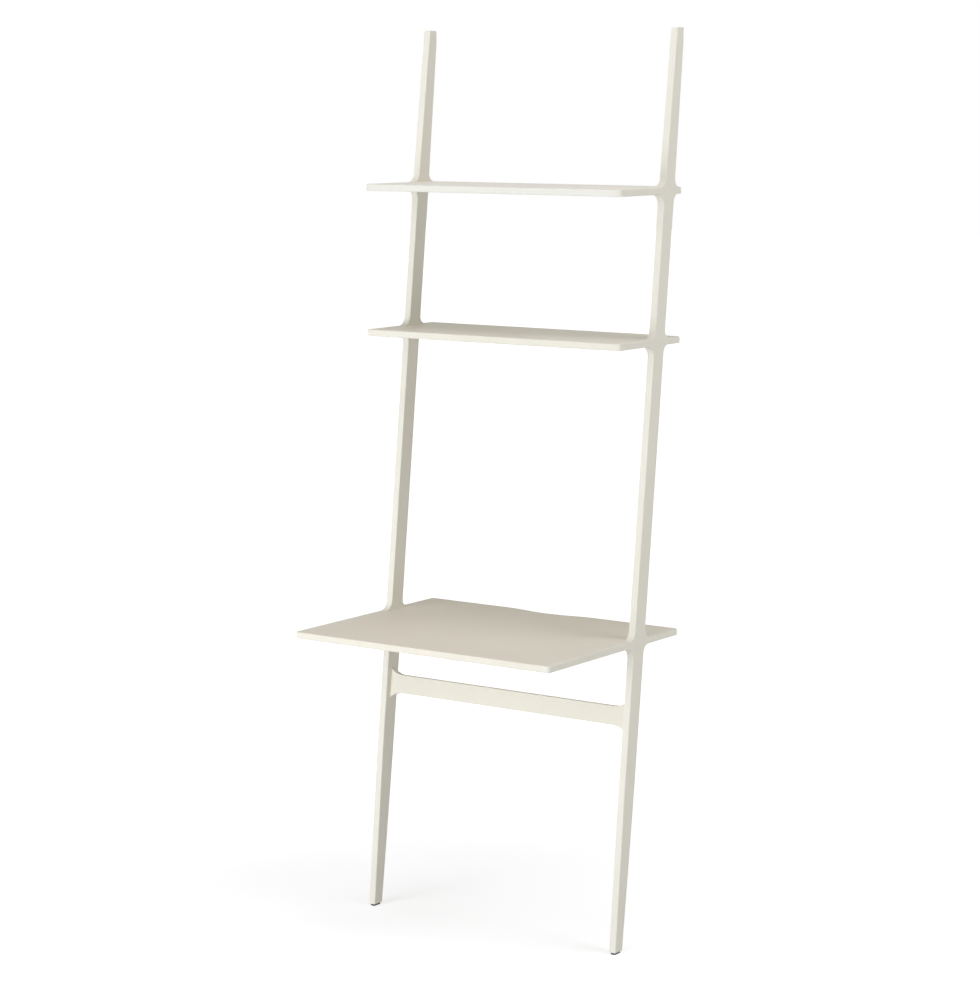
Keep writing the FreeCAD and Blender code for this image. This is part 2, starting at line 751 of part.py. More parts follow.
def countersunk_screw(name, place, rotation, diameter, head, length):
    """Screw whose flat head is at place and whose point lies along the rotation's Z."""
    head_height = f"({head} - {diameter}) / 2"
    axis = rotation.multVec(FreeCAD.Vector(0, 0, 1))

    def further(distance):
        return tuple(f"{start} + ({distance}) * {part:.0f}" if part else start
                     for start, part in zip(place, (axis.x, axis.y, axis.z)))

    taper = f"{diameter} * 1.5"
    return fuse(name, [
        cone(f"{name}_head", place, rotation, head, diameter, head_height),
        cylinder(f"{name}_shank", further(head_height), rotation, diameter,
                 f"{length} - {head_height} - {taper}"),
        cone(f"{name}_point", further(f"{length} - {taper}"), rotation, diameter,
             f"{diameter} / 4", taper),
    ])


def is_rim(edge, radius, axis, level):
    """True for a full circle of a radius in the plane where the axis has a level."""
    curve = edge.Curve
    return (isinstance(curve, Part.Circle) and near(curve.Radius, radius)
            and near(getattr(curve.Center, axis), level))


def make_foot_pad(side):
    label = f"{side}_foot_pad"
    body = make_body(label, frame_place(side))
    profile = sketch_on(body, "XY_Plane", f"{label}_profile")
    rectangle(profile, "pad_inset", "frame_thickness - pad_inset",
              "foot_front + pad_inset", "foot_back - pad_inset")
    pad(body, profile, "pad_height")
    round_edges(body, "pad_corner", f"{label}_corners", lambda edge: near(
        abs(edge.Vertexes[0].Point.z - edge.Vertexes[-1].Point.z), number("pad_height")))
    hole = sketch_on(body, "XY_Plane", f"{label}_screw_hole")
    circles(hole, [("frame_middle", "foot_centre")], "pad_screw_diameter + 2 * fit_clearance")
    pocket(body, hole, towards_normal=True)
    radius = number("pad_screw_diameter / 2 + fit_clearance")
    chamfer_edges(body, "(pad_screw_head - pad_screw_diameter) / 2", f"{label}_countersink",
                  lambda edge: is_rim(edge, radius, "z", 0))
    return body


def plate_screw_places():
    return [("frame_middle", f"plate_middle {sign} plate_screw_spacing / 2") for sign in "-+"]


def make_hanger_plate(side):
    label = f"{side}_hanger_plate"
    body = make_body(label, frame_place(side))
    profile = sketch_on(body, "XZ_Plane", f"{label}_profile", "-desk_depth")
    rectangle(profile, "frame_middle - plate_width / 2", "frame_middle + plate_width / 2",
              "plate_middle - plate_length / 2", "plate_middle + plate_length / 2")
    pad(body, profile, "plate_thickness")
    round_edges(body, "plate_corner", f"{label}_corners", lambda edge: near(
        abs(edge.Vertexes[0].Point.y - edge.Vertexes[-1].Point.y), number("plate_thickness")))
    entry = sketch_on(body, "XZ_Plane", f"{label}_keyhole", "-desk_depth")
    circles(entry, [("frame_middle", "keyhole_centre")], "keyhole_diameter")
    pocket(body, entry, towards_normal=True)
    slot = sketch_on(body, "XZ_Plane", f"{label}_keyhole_slot", "-desk_depth")
    half_slot = "keyhole_slot_width / 2"
    left, right = f"frame_middle - {half_slot}", f"frame_middle + {half_slot}"
    high = f"keyhole_slot_top - {half_slot}"
    outline(slot, [(left, "keyhole_centre"), (right, "keyhole_centre"), (right, high),
                   (left, high)], {2: "start"})
    pocket(body, slot, towards_normal=True)
    holes = sketch_on(body, "XZ_Plane", f"{label}_screw_holes", "-desk_depth")
    circles(holes, plate_screw_places(), "plate_screw_diameter + 2 * fit_clearance")
    pocket(body, holes, towards_normal=True)
    radius = number("plate_screw_diameter / 2 + fit_clearance")
    wall = number("desk_depth")
    chamfer_edges(body, "(plate_screw_head - plate_screw_diameter) / 2", f"{label}_countersinks",
                  lambda edge: is_rim(edge, radius, "y", wall))
    return body


def make_foot_pad_screws():
    screws = []
    for side, side_x in SIDES.items():
        screws.append(countersunk_screw(
            f"{side}_foot_pad_screw", (f"{side_x} + frame_middle", "foot_centre", "fit_clearance"),
            ALONG_Z, "pad_screw_diameter", "pad_screw_head", "pad_screw_length"))
    return group("foot_pad_screws", screws, ("0", DESK_FRONT, "0"))


def make_hanger_screws():
    screws = []
    for side, side_x in SIDES.items():
        for index, (x_text, z_text) in enumerate(plate_screw_places(), 1):
            screws.append(countersunk_screw(
                f"{side}_hanger_screw_{index}",
                (f"{side_x} + {x_text}", "desk_depth - fit_clearance", z_text),
                TOWARDS_FRONT, "plate_screw_diameter", "plate_screw_head", "plate_screw_length"))
    return group("hanger_screws", screws, ("0", DESK_FRONT, "0"))


# ---------------------------------------------------------------- assembly

def build():
    pieces = []
    for side in SIDES:
        pieces.append(make_stile(side))
        pieces += [make_arm(side, level, face) for level in LEVELS for face in FLARES]
        pieces += [make_tenons(side), make_foot_pad(side), make_hanger_plate(side)]

    scoop = [("scoop_length / 2", "desk_depth"), ("scoop_length / 4", "desk_depth - scoop_depth / 2")]
    for level, facts in LEVELS.items():
        corners = [("half_inner", facts["front"]), ("half_inner", "desk_depth")]
        arcs = {}
        if level == "desk":
            corners += scoop
            arcs = {2: "start", 3: "start"}
        fittings, place = level_fittings(level), board_place(level)
        pieces.append(make_board(facts["board"], corners, arcs, place, fittings))
        pieces += make_fittings(facts["board"], fittings, place)

    upright = (X_AXIS, "90 - lean_angle")
    origin = ("0", "stretcher_origin_y", "stretcher_origin_z")
    corners = [("stretcher_bar_end", "stretcher_low"), ("half_inner", "0"),
               ("half_inner", "stretcher_full"), ("stretcher_bar_end", "stretcher_high")]
    fittings = (["stretcher_middle"],
                [f"stretcher_middle {sign} stretcher_dowel_spacing / 2" for sign in "-+"])
    pieces.append(make_board("stretcher", corners, {0: "start", 2: "end"}, origin, fittings, upright))
    pieces += make_fittings("stretcher", fittings, origin, upright)
    return pieces + [make_foot_pad_screws(), make_hanger_screws()]


def check_document(pieces):
    """Stop before anything is written if a feature failed, cut nothing or left a bad shape."""
    for item in DOC.Objects:
        if any(word in item.State for word in ("Invalid", "Error")):
            raise RuntimeError(f"{item.Name} failed: {item.State}")
        if item.TypeId == "Sketcher::SketchObject" and not item.FullyConstrained:
            raise RuntimeError(f"{item.Name} isn't fully constrained")
        if item.TypeId == "PartDesign::Pocket":
            if item.Shape.Volume >= item.BaseFeature.Shape.Volume - 1e-3:
                raise RuntimeError(f"{item.Name} cuts nothing")
    for piece in pieces:
        if piece.Shape.isNull() or not piece.Shape.isValid():
            raise RuntimeError(f"{piece.Label} has a bad shape")


def main():
    pieces = build()
    DOC.recompute()
    check_document(pieces)
    os.makedirs("parts", exist_ok=True)
    for piece in pieces:
        piece.Shape.exportStep(f"parts/{piece.Label}.step")
    print(len(pieces), "nodes,", sum(len(piece.Shape.Solids) for piece in pieces), "solids")


main()
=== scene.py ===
import math
import bmesh
import bpy
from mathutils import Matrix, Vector


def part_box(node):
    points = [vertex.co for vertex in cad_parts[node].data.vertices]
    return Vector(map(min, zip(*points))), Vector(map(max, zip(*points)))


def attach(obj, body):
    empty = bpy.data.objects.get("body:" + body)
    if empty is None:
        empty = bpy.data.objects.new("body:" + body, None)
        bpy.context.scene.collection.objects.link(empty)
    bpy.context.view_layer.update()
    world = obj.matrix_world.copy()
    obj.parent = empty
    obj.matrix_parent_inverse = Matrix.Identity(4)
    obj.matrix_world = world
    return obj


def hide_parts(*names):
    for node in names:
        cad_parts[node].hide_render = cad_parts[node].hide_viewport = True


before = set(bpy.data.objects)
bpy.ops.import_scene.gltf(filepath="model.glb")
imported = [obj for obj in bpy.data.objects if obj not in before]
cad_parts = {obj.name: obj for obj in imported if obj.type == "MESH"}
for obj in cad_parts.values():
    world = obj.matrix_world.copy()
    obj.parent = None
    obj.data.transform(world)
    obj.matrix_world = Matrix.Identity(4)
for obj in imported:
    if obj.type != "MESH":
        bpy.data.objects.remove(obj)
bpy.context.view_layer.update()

# Metres, +X the user's right, +Y back to the wall, +Z up, the origin on the floor.
WALL = 0.2775
DESK_FRONT = -0.2775
SHELF_FRONT = 0.0075
HALF_WIDTH = 0.361
HALF_INNER = 0.343
FRAME_MIDDLE = 0.352
BOARD = 0.016
RAIL_HEIGHT = 0.5525
PLATE_HEIGHT = 2.1285
SIDES = {"left": -1, "right": 1}

# The stile leans back to TIP_MIDDLE. Its faces, as (height, Y) from the foot up, bend at these
# heights, and above UPRIGHT the back face lies along the wall.
LEAN = math.radians(6.45)
TIP_MIDDLE = 0.2635
FOOT, CALF, DESK_CROSSING = 0.004, 0.380, 0.727
TOP_CROSSING, UPRIGHT, TIP = 1.771, 2.112, 2.145
FRONT_FACE = ((FOOT, 0.00571), (CALF, 0.04171), (DESK_CROSSING, 0.08019),
              (TOP_CROSSING, 0.19947), (TIP, 0.24950))
BACK_FACE = ((FOOT, 0.03721), (CALF, 0.08621), (DESK_CROSSING, 0.12619),
             (TOP_CROSSING, 0.24297), (UPRIGHT, WALL), (TIP, WALL))

# Top face and front edge of each board.
LEVELS = {"desk": (0.735, DESK_FRONT), "middle": (1.431, SHELF_FRONT),
          "top": (1.779, SHELF_FRONT)}
BOARDS = {"desk": "desk_top", "middle": "middle_shelf", "top": "top_shelf"}


# ---------------------------------------------------------------- room, camera and lamps

CAMERA_PLACE = (3.765, -5.3965, 1.998)
CAMERA_DIP, CAMERA_TURN = 8.04, 34.84   # degrees down, and to the left of straight back
LENS, SENSOR_WIDTH = 103.77, 36         # millimetres
WHITE = (1, 1, 1, 1)
ROOM_COLOUR, ROOM_STRENGTH = (1.0, 0.90, 0.75, 1), 0.185
FLOOR_SIZE, FLOOR_COLOUR = 60, (0.79, 0.80, 0.83, 1)
# The white that is added to the floor, by the distance from its middle.
FLOOR_LIFT = {"From Min": 0.6, "From Max": 2.4, "To Min": 0.50, "To Max": 0.85}

# Far lamps: strength, width in degrees, colour and turn. Near lamps: watts, side in metres,
# colour, place and aim.
FAR_LAMPS = {
    "front_lamp": (1.03, 40, (0.91, 0.96, 1.0), (75, 0, 0)),
    "right_lamp": (0.23, 50, (0.78, 0.92, 1.0), (45, 0, 75)),
    "left_lamp": (0.60, 50, (1.0, 1.0, 1.0), (85, 0, -90)),
    "overhead_lamp": (0.19, 50, (1.0, 0.80, 0.72), (30, 0, 60)),
    "back_lamp": (0.42, 60, (1.0, 0.97, 0.92), (78, 0, 180)),
}
NEAR_LAMPS = {
    "low_left_softbox": (24.6, 1.8, (0.96, 0.97, 1.0), (-1.5, -3.3, 0.8), (0.0, 0.1, 0.9)),
    "low_softbox": (50.0, 1.8, (0.87, 0.92, 1.0), (-0.6, -3.8, 0.7), (0.0, 0.1, 0.9)),
    "right_softbox": (30.5, 2.6, (0.95, 0.98, 1.0), (3.6, 0.6, 1.3), (0.0, 0.2, 1.1)),
    "high_right_softbox": (12.7, 1.4, (0.90, 0.93, 1.0), (2.3, 0.5, 3.2), (0.36, 0.2, 1.6)),
    "top_softbox": (26.5, 1.6, (0.97, 0.93, 1.0), (0.0, -0.4, 4.6), (0.0, 0.0, 1.0)),
}


def node(tree, kind, place=(0, 0), **values):
    """A shader node with its sockets or properties set."""
    made = tree.nodes.new(kind)
    made.location = place
    for name, value in values.items():
        if name in made.inputs:
            made.inputs[name].default_value = value
        else:
            setattr(made, name, value)
    return made


def wire(tree, *pairs):
    """Link each pair of an output and an input socket."""
    for source, target in pairs:
        tree.links.new(source, target)


def set_camera():
    data = bpy.data.cameras.new("camera")
    data.sensor_fit = "HORIZONTAL"
    data.sensor_width = SENSOR_WIDTH
    data.lens = LENS
    camera = bpy.data.objects.new("camera", data)
    camera.location = CAMERA_PLACE
    camera.rotation_euler = (math.radians(90 - CAMERA_DIP), 0, math.radians(CAMERA_TURN))
    bpy.context.scene.collection.objects.link(camera)
    bpy.context.scene.camera = camera


def seen_by_eye_or_gloss(tree):
    """1 for rays that the eye, a gloss or a glass sends, 0 for light that falls on things."""
    path = node(tree, "ShaderNodeLightPath", (-900, 300))
    most = node(tree, "ShaderNodeMath", (-700, 300), operation="MAXIMUM")
    last = node(tree, "ShaderNodeMath", (-500, 300), operation="MAXIMUM")
    wire(tree, (path.outputs["Is Camera Ray"], most.inputs[0]),
         (path.outputs["Is Glossy Ray"], most.inputs[1]),
         (most.outputs[0], last.inputs[0]),
         (path.outputs["Is Transmission Ray"], last.inputs[1]))
    return last.outputs[0]


def light_room():
    """A weak warm light from all round, which the eye and the glosses see as plain white."""
    world = bpy.data.worlds.new("studio")
    bpy.context.scene.world = world
    world.use_nodes = True
    tree = world.node_tree
    tree.nodes.clear()
    soft = node(tree, "ShaderNodeBackground", (-300, 100), Color=ROOM_COLOUR,
                Strength=ROOM_STRENGTH)
    white = node(tree, "ShaderNodeBackground", (-300, -100), Color=WHITE, Strength=1.0)
    either = node(tree, "ShaderNodeMixShader", (-50, 0))
    out = node(tree, "ShaderNodeOutputWorld", (150, 0))
    wire(tree, (seen_by_eye_or_gloss(tree), either.inputs[0]),
         (soft.outputs[0], either.inputs[1]), (white.outputs[0], either.inputs[2]),
         (either.outputs[0], out.inputs[0]))


def hang_lamp(name, kind, energy, colour, place, turn):
    data = bpy.data.lights.new(name, kind)
    data.energy = energy
    data.color = colour
    lamp = bpy.data.objects.new(name, data)
    lamp.location = place
    lamp.rotation_euler = turn
    lamp.visible_camera = False
    bpy.context.scene.collection.objects.link(lamp)
    return data


def hang_lamps():
    for name, (strength, width, colour, turn) in FAR_LAMPS.items():
        turn = [math.radians(part) for part in turn]
        hang_lamp(name, "SUN", strength, colour, (0, 0, 4), turn).angle = math.radians(width)
    for name, (watts, side, colour, place, aim) in NEAR_LAMPS.items():
        turn = (Vector(aim) - Vector(place)).to_track_quat("-Z", "Y").to_euler()
        hang_lamp(name, "AREA", watts, colour, place, turn).size = side


def floor_finish():
    """Matt and pale with the shadows near the desk, plain white further out, clear from below."""
    material = bpy.data.materials.new("pale_floor")
    material.use_nodes = True
    tree = material.node_tree
    tree.nodes.clear()
    place = node(tree, "ShaderNodeTexCoord", (-1300, -200))
    away = node(tree, "ShaderNodeVectorMath", (-1100, -200), operation="LENGTH")
    fade = node(tree, "ShaderNodeMapRange", (-900, -200), interpolation_type="SMOOTHSTEP",
                **FLOOR_LIFT)
    share = node(tree, "ShaderNodeMath", (-500, -100), operation="MULTIPLY")
    lift = node(tree, "ShaderNodeEmission", (-300, -100), Color=WHITE)
    matt = node(tree, "ShaderNodeBsdfDiffuse", (-300, 100), Color=FLOOR_COLOUR)
    both = node(tree, "ShaderNodeAddShader", (-50, 0))
    below = node(tree, "ShaderNodeNewGeometry", (-300, 400))
    clear = node(tree, "ShaderNodeBsdfTransparent", (-50, -200))
    either = node(tree, "ShaderNodeMixShader", (100, 200))
    out = node(tree, "ShaderNodeOutputMaterial", (150, 0))
    wire(tree, (place.outputs["Object"], away.inputs[0]),
         (away.outputs["Value"], fade.inputs["Value"]),
         (seen_by_eye_or_gloss(tree), share.inputs[0]), (fade.outputs[0], share.inputs[1]),
         (share.outputs[0], lift.inputs["Strength"]),
         (matt.outputs[0], both.inputs[0]), (lift.outputs[0], both.inputs[1]),
         (below.outputs["Backfacing"], either.inputs[0]),
         (both.outputs[0], either.inputs[1]), (clear.outputs[0], either.inputs[2]),
         (either.outputs[0], out.inputs[0]))
    return material


def lay_floor():
    bpy.ops.object.select_all(action="DESELECT")
    bpy.ops.mesh.primitive_plane_add(size=FLOOR_SIZE, location=(0, 0, 0))
    floor = bpy.context.object
    floor.name = "floor"
    floor.data.materials.append(floor_finish())


bpy.context.scene.view_settings.view_transform = "Standard"
set_camera()
light_room()
hang_lamps()
lay_floor()


# ---------------------------------------------------------------- shaping tools

SLACK = 2e-4            # places closer than this are the same
SHARP_ANGLE = 32        # degrees between two faces from which their edge is sharp


def on_face(face, height):
    """Y of the stile's front or back face at a height."""
    for (low, low_y), (high, high_y) in zip(face, face[1:]):
        if height <= high + 1e-6:
            return low_y + (high_y - low_y) * (height - low) / (high - low)


def stile_middle(height):
    """Y of the stile's middle line at a height."""
    return TIP_MIDDLE - math.tan(LEAN) * (TIP - height)


def near(first, second):
    return abs(first - second) < SLACK


def middle(edge):
    return (edge.verts[0].co + edge.verts[1].co) / 2


def runs_along(edge, axis):
    line = edge.verts[1].co - edge.verts[0].co
    return abs(line[axis]) > 0.999 * line.length


def alone(piece):
    """Make this the one selected and active object."""
    bpy.ops.object.select_all(action="DESELECT")
    piece.select_set(True)
    bpy.context.view_layer.objects.active = piece


def fresh(name):
    """Name the object just added, and put its place in its mesh."""
    piece = bpy.context.object
    piece.name = piece.data.name = name
    bpy.ops.object.transform_apply(location=True, rotation=True, scale=True)
    return piece


def add_block(name, low, high):
    """A block between two corners."""
    bpy.ops.object.select_all(action="DESELECT")
    bpy.ops.mesh.primitive_cube_add(
        size=1, location=[(a + b) / 2 for a, b in zip(low, high)],
        scale=[b - a for a, b in zip(low, high)])
    return fresh(name)


def add_pin(name, start, along, diameter, length, sides=48):
    """A round bar from a start point along X, Y or Z."""
    centre = Vector(start) + Vector(along) * (length / 2)
    turn = Vector((0, 0, 1)).rotation_difference(Vector(along)).to_euler()
    bpy.ops.object.select_all(action="DESELECT")
    bpy.ops.mesh.primitive_cylinder_add(
        vertices=sides, radius=diameter / 2, depth=length, location=centre, rotation=turn)
    return fresh(name)


def edit(piece):
    alone(piece)
    bpy.ops.object.mode_set(mode="EDIT")


def leave_edit():
    bpy.ops.object.mode_set(mode="OBJECT")


def pick(piece, kind, test):
    """In edit mode, select only the verts, edges or faces that pass a test."""
    bpy.ops.mesh.select_mode(type={"verts": "VERT", "edges": "EDGE", "faces": "FACE"}[kind])
    bpy.ops.mesh.select_all(action="DESELECT")
    mesh = bmesh.from_edit_mesh(piece.data)
    for item in getattr(mesh, kind):
        if test(item):
            item.select_set(True)
    mesh.select_flush_mode()
    bmesh.update_edit_mesh(piece.data)


def draw_out(*move):
    """Extrude what is picked."""
    bpy.ops.mesh.extrude_region_move(TRANSFORM_OT_translate={"value": move})


def scale_about(centre, *shares):
    """Scale what is picked about a point."""
    bpy.ops.transform.resize(value=shares, center_override=centre)


def round_picked(radius, segments, **more):
    """Round the picked edges."""
    bpy.ops.mesh.bevel(offset=radius, segments=segments, profile=0.5, affect="EDGES", **more)


def merge_faces(piece, axis):
    """Join the faces that point one way along an axis into one, and those the other way."""
    for way in (-1, 1):
        pick(piece, "faces", lambda face: face.normal[axis] * way > 0.99)
        bpy.ops.mesh.dissolve_faces()


def apply_modifier(piece, kind, **settings):
    alone(piece)
    modifier = piece.modifiers.new(kind.lower(), kind)
    for name, value in settings.items():
        setattr(modifier, name, value)
    bpy.ops.object.modifier_apply(modifier=modifier.name)


def cut_away(piece, cutters, self_crossing=False):
    """Take the cutters out of the piece in one boolean."""
    bpy.ops.object.select_all(action="DESELECT")
    for cutter in cutters:
        cutter.select_set(True)
    bpy.context.view_layer.objects.active = cutters[0]
    if len(cutters) > 1:
        bpy.ops.object.join()
    apply_modifier(piece, "BOOLEAN", operation="DIFFERENCE", object=cutters[0], solver="EXACT",
                   use_self=self_crossing)
    bpy.data.objects.remove(cutters[0], do_unlink=True)


def turn_and_place(piece, turn, place, spin=0):
    """Turn about X, spin about Z, set down, and leave the object itself at the origin."""
    alone(piece)
    piece.rotation_euler = (turn, 0, spin)
    piece.location = place
    bpy.ops.object.transform_apply(location=True, rotation=True, scale=True)


def ease_edges(piece, radius, share):
    """Round the sharp edges, each by its share of the radius."""
    edit(piece)
    mesh = bmesh.from_edit_mesh(piece.data)
    weight = mesh.edges.layers.float.get("bevel_weight_edge")
    weight = weight or mesh.edges.layers.float.new("bevel_weight_edge")
    for edge in mesh.edges:
        sharp = edge.is_manifold and edge.calc_face_angle() > math.radians(SHARP_ANGLE)
        edge[weight] = share(edge) if sharp else 0
    bmesh.update_edit_mesh(piece.data)
    leave_edit()
    apply_modifier(piece, "BEVEL", width=radius, segments=4, limit_method="WEIGHT",
                   profile=0.5, use_clamp_overlap=False, miter_outer="MITER_ARC")


def finish_faces(piece, angle=SHARP_ANGLE):
    """Smooth the rounded parts and keep the flats flat."""
    alone(piece)
    bpy.ops.object.shade_smooth_by_angle(angle=math.radians(angle))
    apply_modifier(piece, "WEIGHTED_NORMAL", mode="FACE_AREA", weight=80, keep_sharp=True)


# ---------------------------------------------------------------- joints

CAM_INSET = 0.035       # from a board's front edge to its first cam
CAM_LEAD = 0.045        # from a cam to the stile behind it
DOWEL_INSET = 0.012     # from the wall to the dowel next to it
CAM_PLACE = HALF_INNER - 0.024      # X of the cams
RAIL_DOWEL_STEP = 0.018     # from the rail's middle to its dowels
PLATE_SCREW_STEP = 0.010    # from a wall plate's middle to its screws

# Half width, half height and depth of the pockets in the back of the tip.
PLATE_SEAT, KEYHOLE_ROOM = (0.0062, 0.0132, 0.002), (0.0045, 0.008, 0.008)
SEAT_CORNER = 0.0022

# Diameter and length of each bore. The lengths take in what lies outside the face, which is
# OVERRUN where a bore starts outside.
OVERRUN = 0.002
BOLT_HOLE, DOWEL_HOLE = (0.0050, 0.0130), (0.0082, 0.0125)
CAM_BORE, BOLT_BORE, DOWEL_BORE = (0.0153, 0.0145), (0.0070, 0.0260), (0.0082, 0.0225)
PLATE_SCREW_HOLE = (0.0028, 0.0125)
FOOT_SCREW_WIDTH = 0.0037
FOOT_SCREW_HOLE, PAD_SCREW_HOLE = (FOOT_SCREW_WIDTH, 0.0255), (FOOT_SCREW_WIDTH, 0.0070)
BELOW = -0.001          # where a cutter starts that goes up into a face near the origin


def cam_places(level):
    """Y of a level's cams and of its dowels. The top shelf has no cam behind the stile."""
    top, front = LEVELS[level]
    first_cam = front + CAM_INSET
    second_cam = on_face(FRONT_FACE, top - BOARD / 2) - CAM_LEAD
    cams = [first_cam, second_cam]
    if level != "top":
        cams.append((on_face(BACK_FACE, top - BOARD / 2) + WALL) / 2)
    return cams, [(first_cam + second_cam) / 2, WALL - DOWEL_INSET]


def bore_inner_face(piece, sign):
    """Holes in a side frame for the dowels and cam bolts of the boards and the rail."""
    x, into = sign * (HALF_INNER - OVERRUN), (sign, 0, 0)
    pins = []
    for level, (top, _) in LEVELS.items():
        cams, dowels = cam_places(level)
        height = top - BOARD / 2
        pins += [add_pin("bolt_hole", (x, y, height), into, *BOLT_HOLE, 24) for y in cams]
        pins += [add_pin("dowel_hole", (x, y, height), into, *DOWEL_HOLE, 32) for y in dowels]
    for step in (-RAIL_DOWEL_STEP, 0, RAIL_DOWEL_STEP):
        height = RAIL_HEIGHT + step * math.cos(LEAN)
        hole = DOWEL_HOLE if step else BOLT_HOLE
        pins.append(add_pin("rail_hole", (x, stile_middle(height), height), into, *hole, 32))
    cut_away(piece, pins)


def tip_pocket(name, x, half_width, half_height, depth, outside=0):
    """A block that cuts a pocket into the back of the tip, round the middle of the wall plate."""
    return add_block(name, (x - half_width, WALL - depth, PLATE_HEIGHT - half_height),
                     (x + half_width, WALL + outside, PLATE_HEIGHT + half_height))


def bore_tip_and_foot(piece, sign):
    """Seat of the wall plate, room for the wall screw's head, and holes for the screws."""
    x = sign * FRAME_MIDDLE
    seat = tip_pocket("plate_seat", x, *PLATE_SEAT, OVERRUN)
    edit(seat)
    pick(seat, "edges", lambda edge: runs_along(edge, 1))
    round_picked(SEAT_CORNER, segments=5)
    leave_edit()
    cut_away(piece, [seat])
    cut_away(piece, [tip_pocket("keyhole_room", x, *KEYHOLE_ROOM)])
    cut_away(piece, [add_pin("screw_hole", (x, WALL, PLATE_HEIGHT + step), (0, -1, 0),
                             *PLATE_SCREW_HOLE, 16)
                     for step in (-PLATE_SCREW_STEP, PLATE_SCREW_STEP)])
    cut_away(piece, [add_pin("foot_screw_hole", (x, stile_middle(FOOT), 0), (0, 0, 1),
                             *FOOT_SCREW_HOLE, 20)])


def bore_ends(piece, cams, dowels, middle_z, under):
    """Bores for the cams from below, and for the bolts and dowels from both ends."""
    x = HALF_INNER + OVERRUN
    cut_away(piece, [add_pin("cam_bore", (sign * CAM_PLACE, y, under - OVERRUN), (0, 0, 1),
                             *CAM_BORE) for sign in (-1, 1) for y in cams])
    cut_away(piece, [add_pin("bolt_bore", (sign * x, y, middle_z), (-sign, 0, 0),
                             *BOLT_BORE, 24) for sign in (-1, 1) for y in cams])
    cut_away(piece, [add_pin("dowel_bore", (sign * x, y, middle_z), (-sign, 0, 0),
                             *DOWEL_BORE, 32) for sign in (-1, 1) for y in dowels])


# ---------------------------------------------------------------- side frames

FRONT_FILLET = (0.0223, 0.0280)     # tangent lengths above and below a front arm
REAR_FILLET = (0.0222, 0.0179)      # and above and below a rear arm
TIP_RADIUS, ARM_RADIUS = 0.003, 0.009
EASE, RAIL_EASE = 0.0024, 0.0010    # rounding of the free edges
JOINT_EASE = 0.18       # the share of it where a board or the rail meets a side frame
FOOT_EASE = 1.4         # and round the foot
# How far above and below a board that share holds, and where the full rounding is back.
JOINT_REACH, FADE_REACH = 0.0008, 0.012


def grow_stile(piece):
    """Raise the stile from its first stretch, one ring at each underside, top and bend."""
    heights = sorted([top - part for top, _ in LEVELS.values() for part in (0, BOARD)]
                     + [CALF, UPRIGHT, TIP])
    front, back = on_face(FRONT_FACE, FOOT), on_face(BACK_FACE, FOOT)
    last = CALF
    for height in heights:
        pick(piece, "faces", lambda face: face.normal.z > 0.9 and near(
            face.calc_center_median().z, last))
        if height > last:
            draw_out(0, 0, height - last)
        new_front, new_back = on_face(FRONT_FACE, height), on_face(BACK_FACE, height)
        bpy.ops.transform.translate(value=(0, (new_front + new_back - front - back) / 2, 0))
        scale_about((0, (new_front + new_back) / 2, height),
                    1, (new_back - new_front) / (back - front), 1)
        front, back, last = new_front, new_back, height


def grow_arm(piece, top, tip, outward):
    """Draw one arm out of the stile between a board's underside and top."""
    level = top - BOARD / 2
    start = on_face(FRONT_FACE if outward < 0 else BACK_FACE, level)
    pick(piece, "faces", lambda face: face.normal.y * outward > 0.9 and near(
        face.calc_center_median().z, level))
    draw_out(0, tip - start, 0)
    scale_about((0, tip, 0), 1, 0, 1)


def fillet_roots(piece):
    """Round the inner corners where the arms leave the stile."""
    for top, _ in LEVELS.values():
        for face, lengths in ((FRONT_FACE, FRONT_FILLET), (BACK_FACE, REAR_FILLET)):
            for height, length in zip((top, top - BOARD), lengths):
                pick(piece, "edges", lambda edge: runs_along(edge, 0) and near(
                    middle(edge).z, height) and near(middle(edge).y, on_face(face, height)))
                round_picked(length, segments=10, offset_type="ABSOLUTE",
                             clamp_overlap=False)


def round_corners(piece, outer):
    """Round the tip's two corners and the arms' outer corners."""
    pick(piece, "edges", lambda edge: runs_along(edge, 0) and near(middle(edge).z, TIP))
    round_picked(TIP_RADIUS, segments=4)
    ends = (DESK_FRONT, SHELF_FRONT, WALL)
    pick(piece, "edges", lambda edge: runs_along(edge, 2) and near(middle(edge).x, outer)
         and any(near(middle(edge).y, end) for end in ends) and middle(edge).z < UPRIGHT)
    round_picked(ARM_RADIUS, segments=9)


def frame_share(inner):
    """Share of the rounding for each edge: full where it is free, small along a board's end."""
    def share(edge):
        place = middle(edge)
        if near(place.z, FOOT):
            return FOOT_EASE
        if not near(place.x, inner):
            return 1
        for top, _ in LEVELS.values():
            away = max(place.z - top, top - BOARD - place.z)
            if away < JOINT_REACH:
                return JOINT_EASE
            if away < FADE_REACH:
                return JOINT_EASE + (1 - JOINT_EASE) * away / FADE_REACH
        return 1
    return share


def side_frame(side):
    """A stile with its arms and tenons as one shape."""
    sign = SIDES[side]
    inner, outer = sign * HALF_INNER, sign * HALF_WIDTH
    piece = add_block(f"{side}_frame", (min(inner, outer), on_face(FRONT_FACE, FOOT), FOOT),
                      (max(inner, outer), on_face(BACK_FACE, FOOT), CALF))
    edit(piece)
    grow_stile(piece)
    for top, front in LEVELS.values():
        grow_arm(piece, top, front, -1)
        grow_arm(piece, top, WALL, 1)
    merge_faces(piece, 0)
    fillet_roots(piece)
    round_corners(piece, outer)
    leave_edit()
    ease_edges(piece, EASE, frame_share(inner))
    bore_inner_face(piece, sign)
    bore_tip_and_foot(piece, sign)
    finish_faces(piece)
    arms = [f"{side}_{level}_{word}_arm" for level in LEVELS for word in ("front", "rear")]
    return piece, [f"{side}_stile", f"{side}_arm_tenons"] + arms


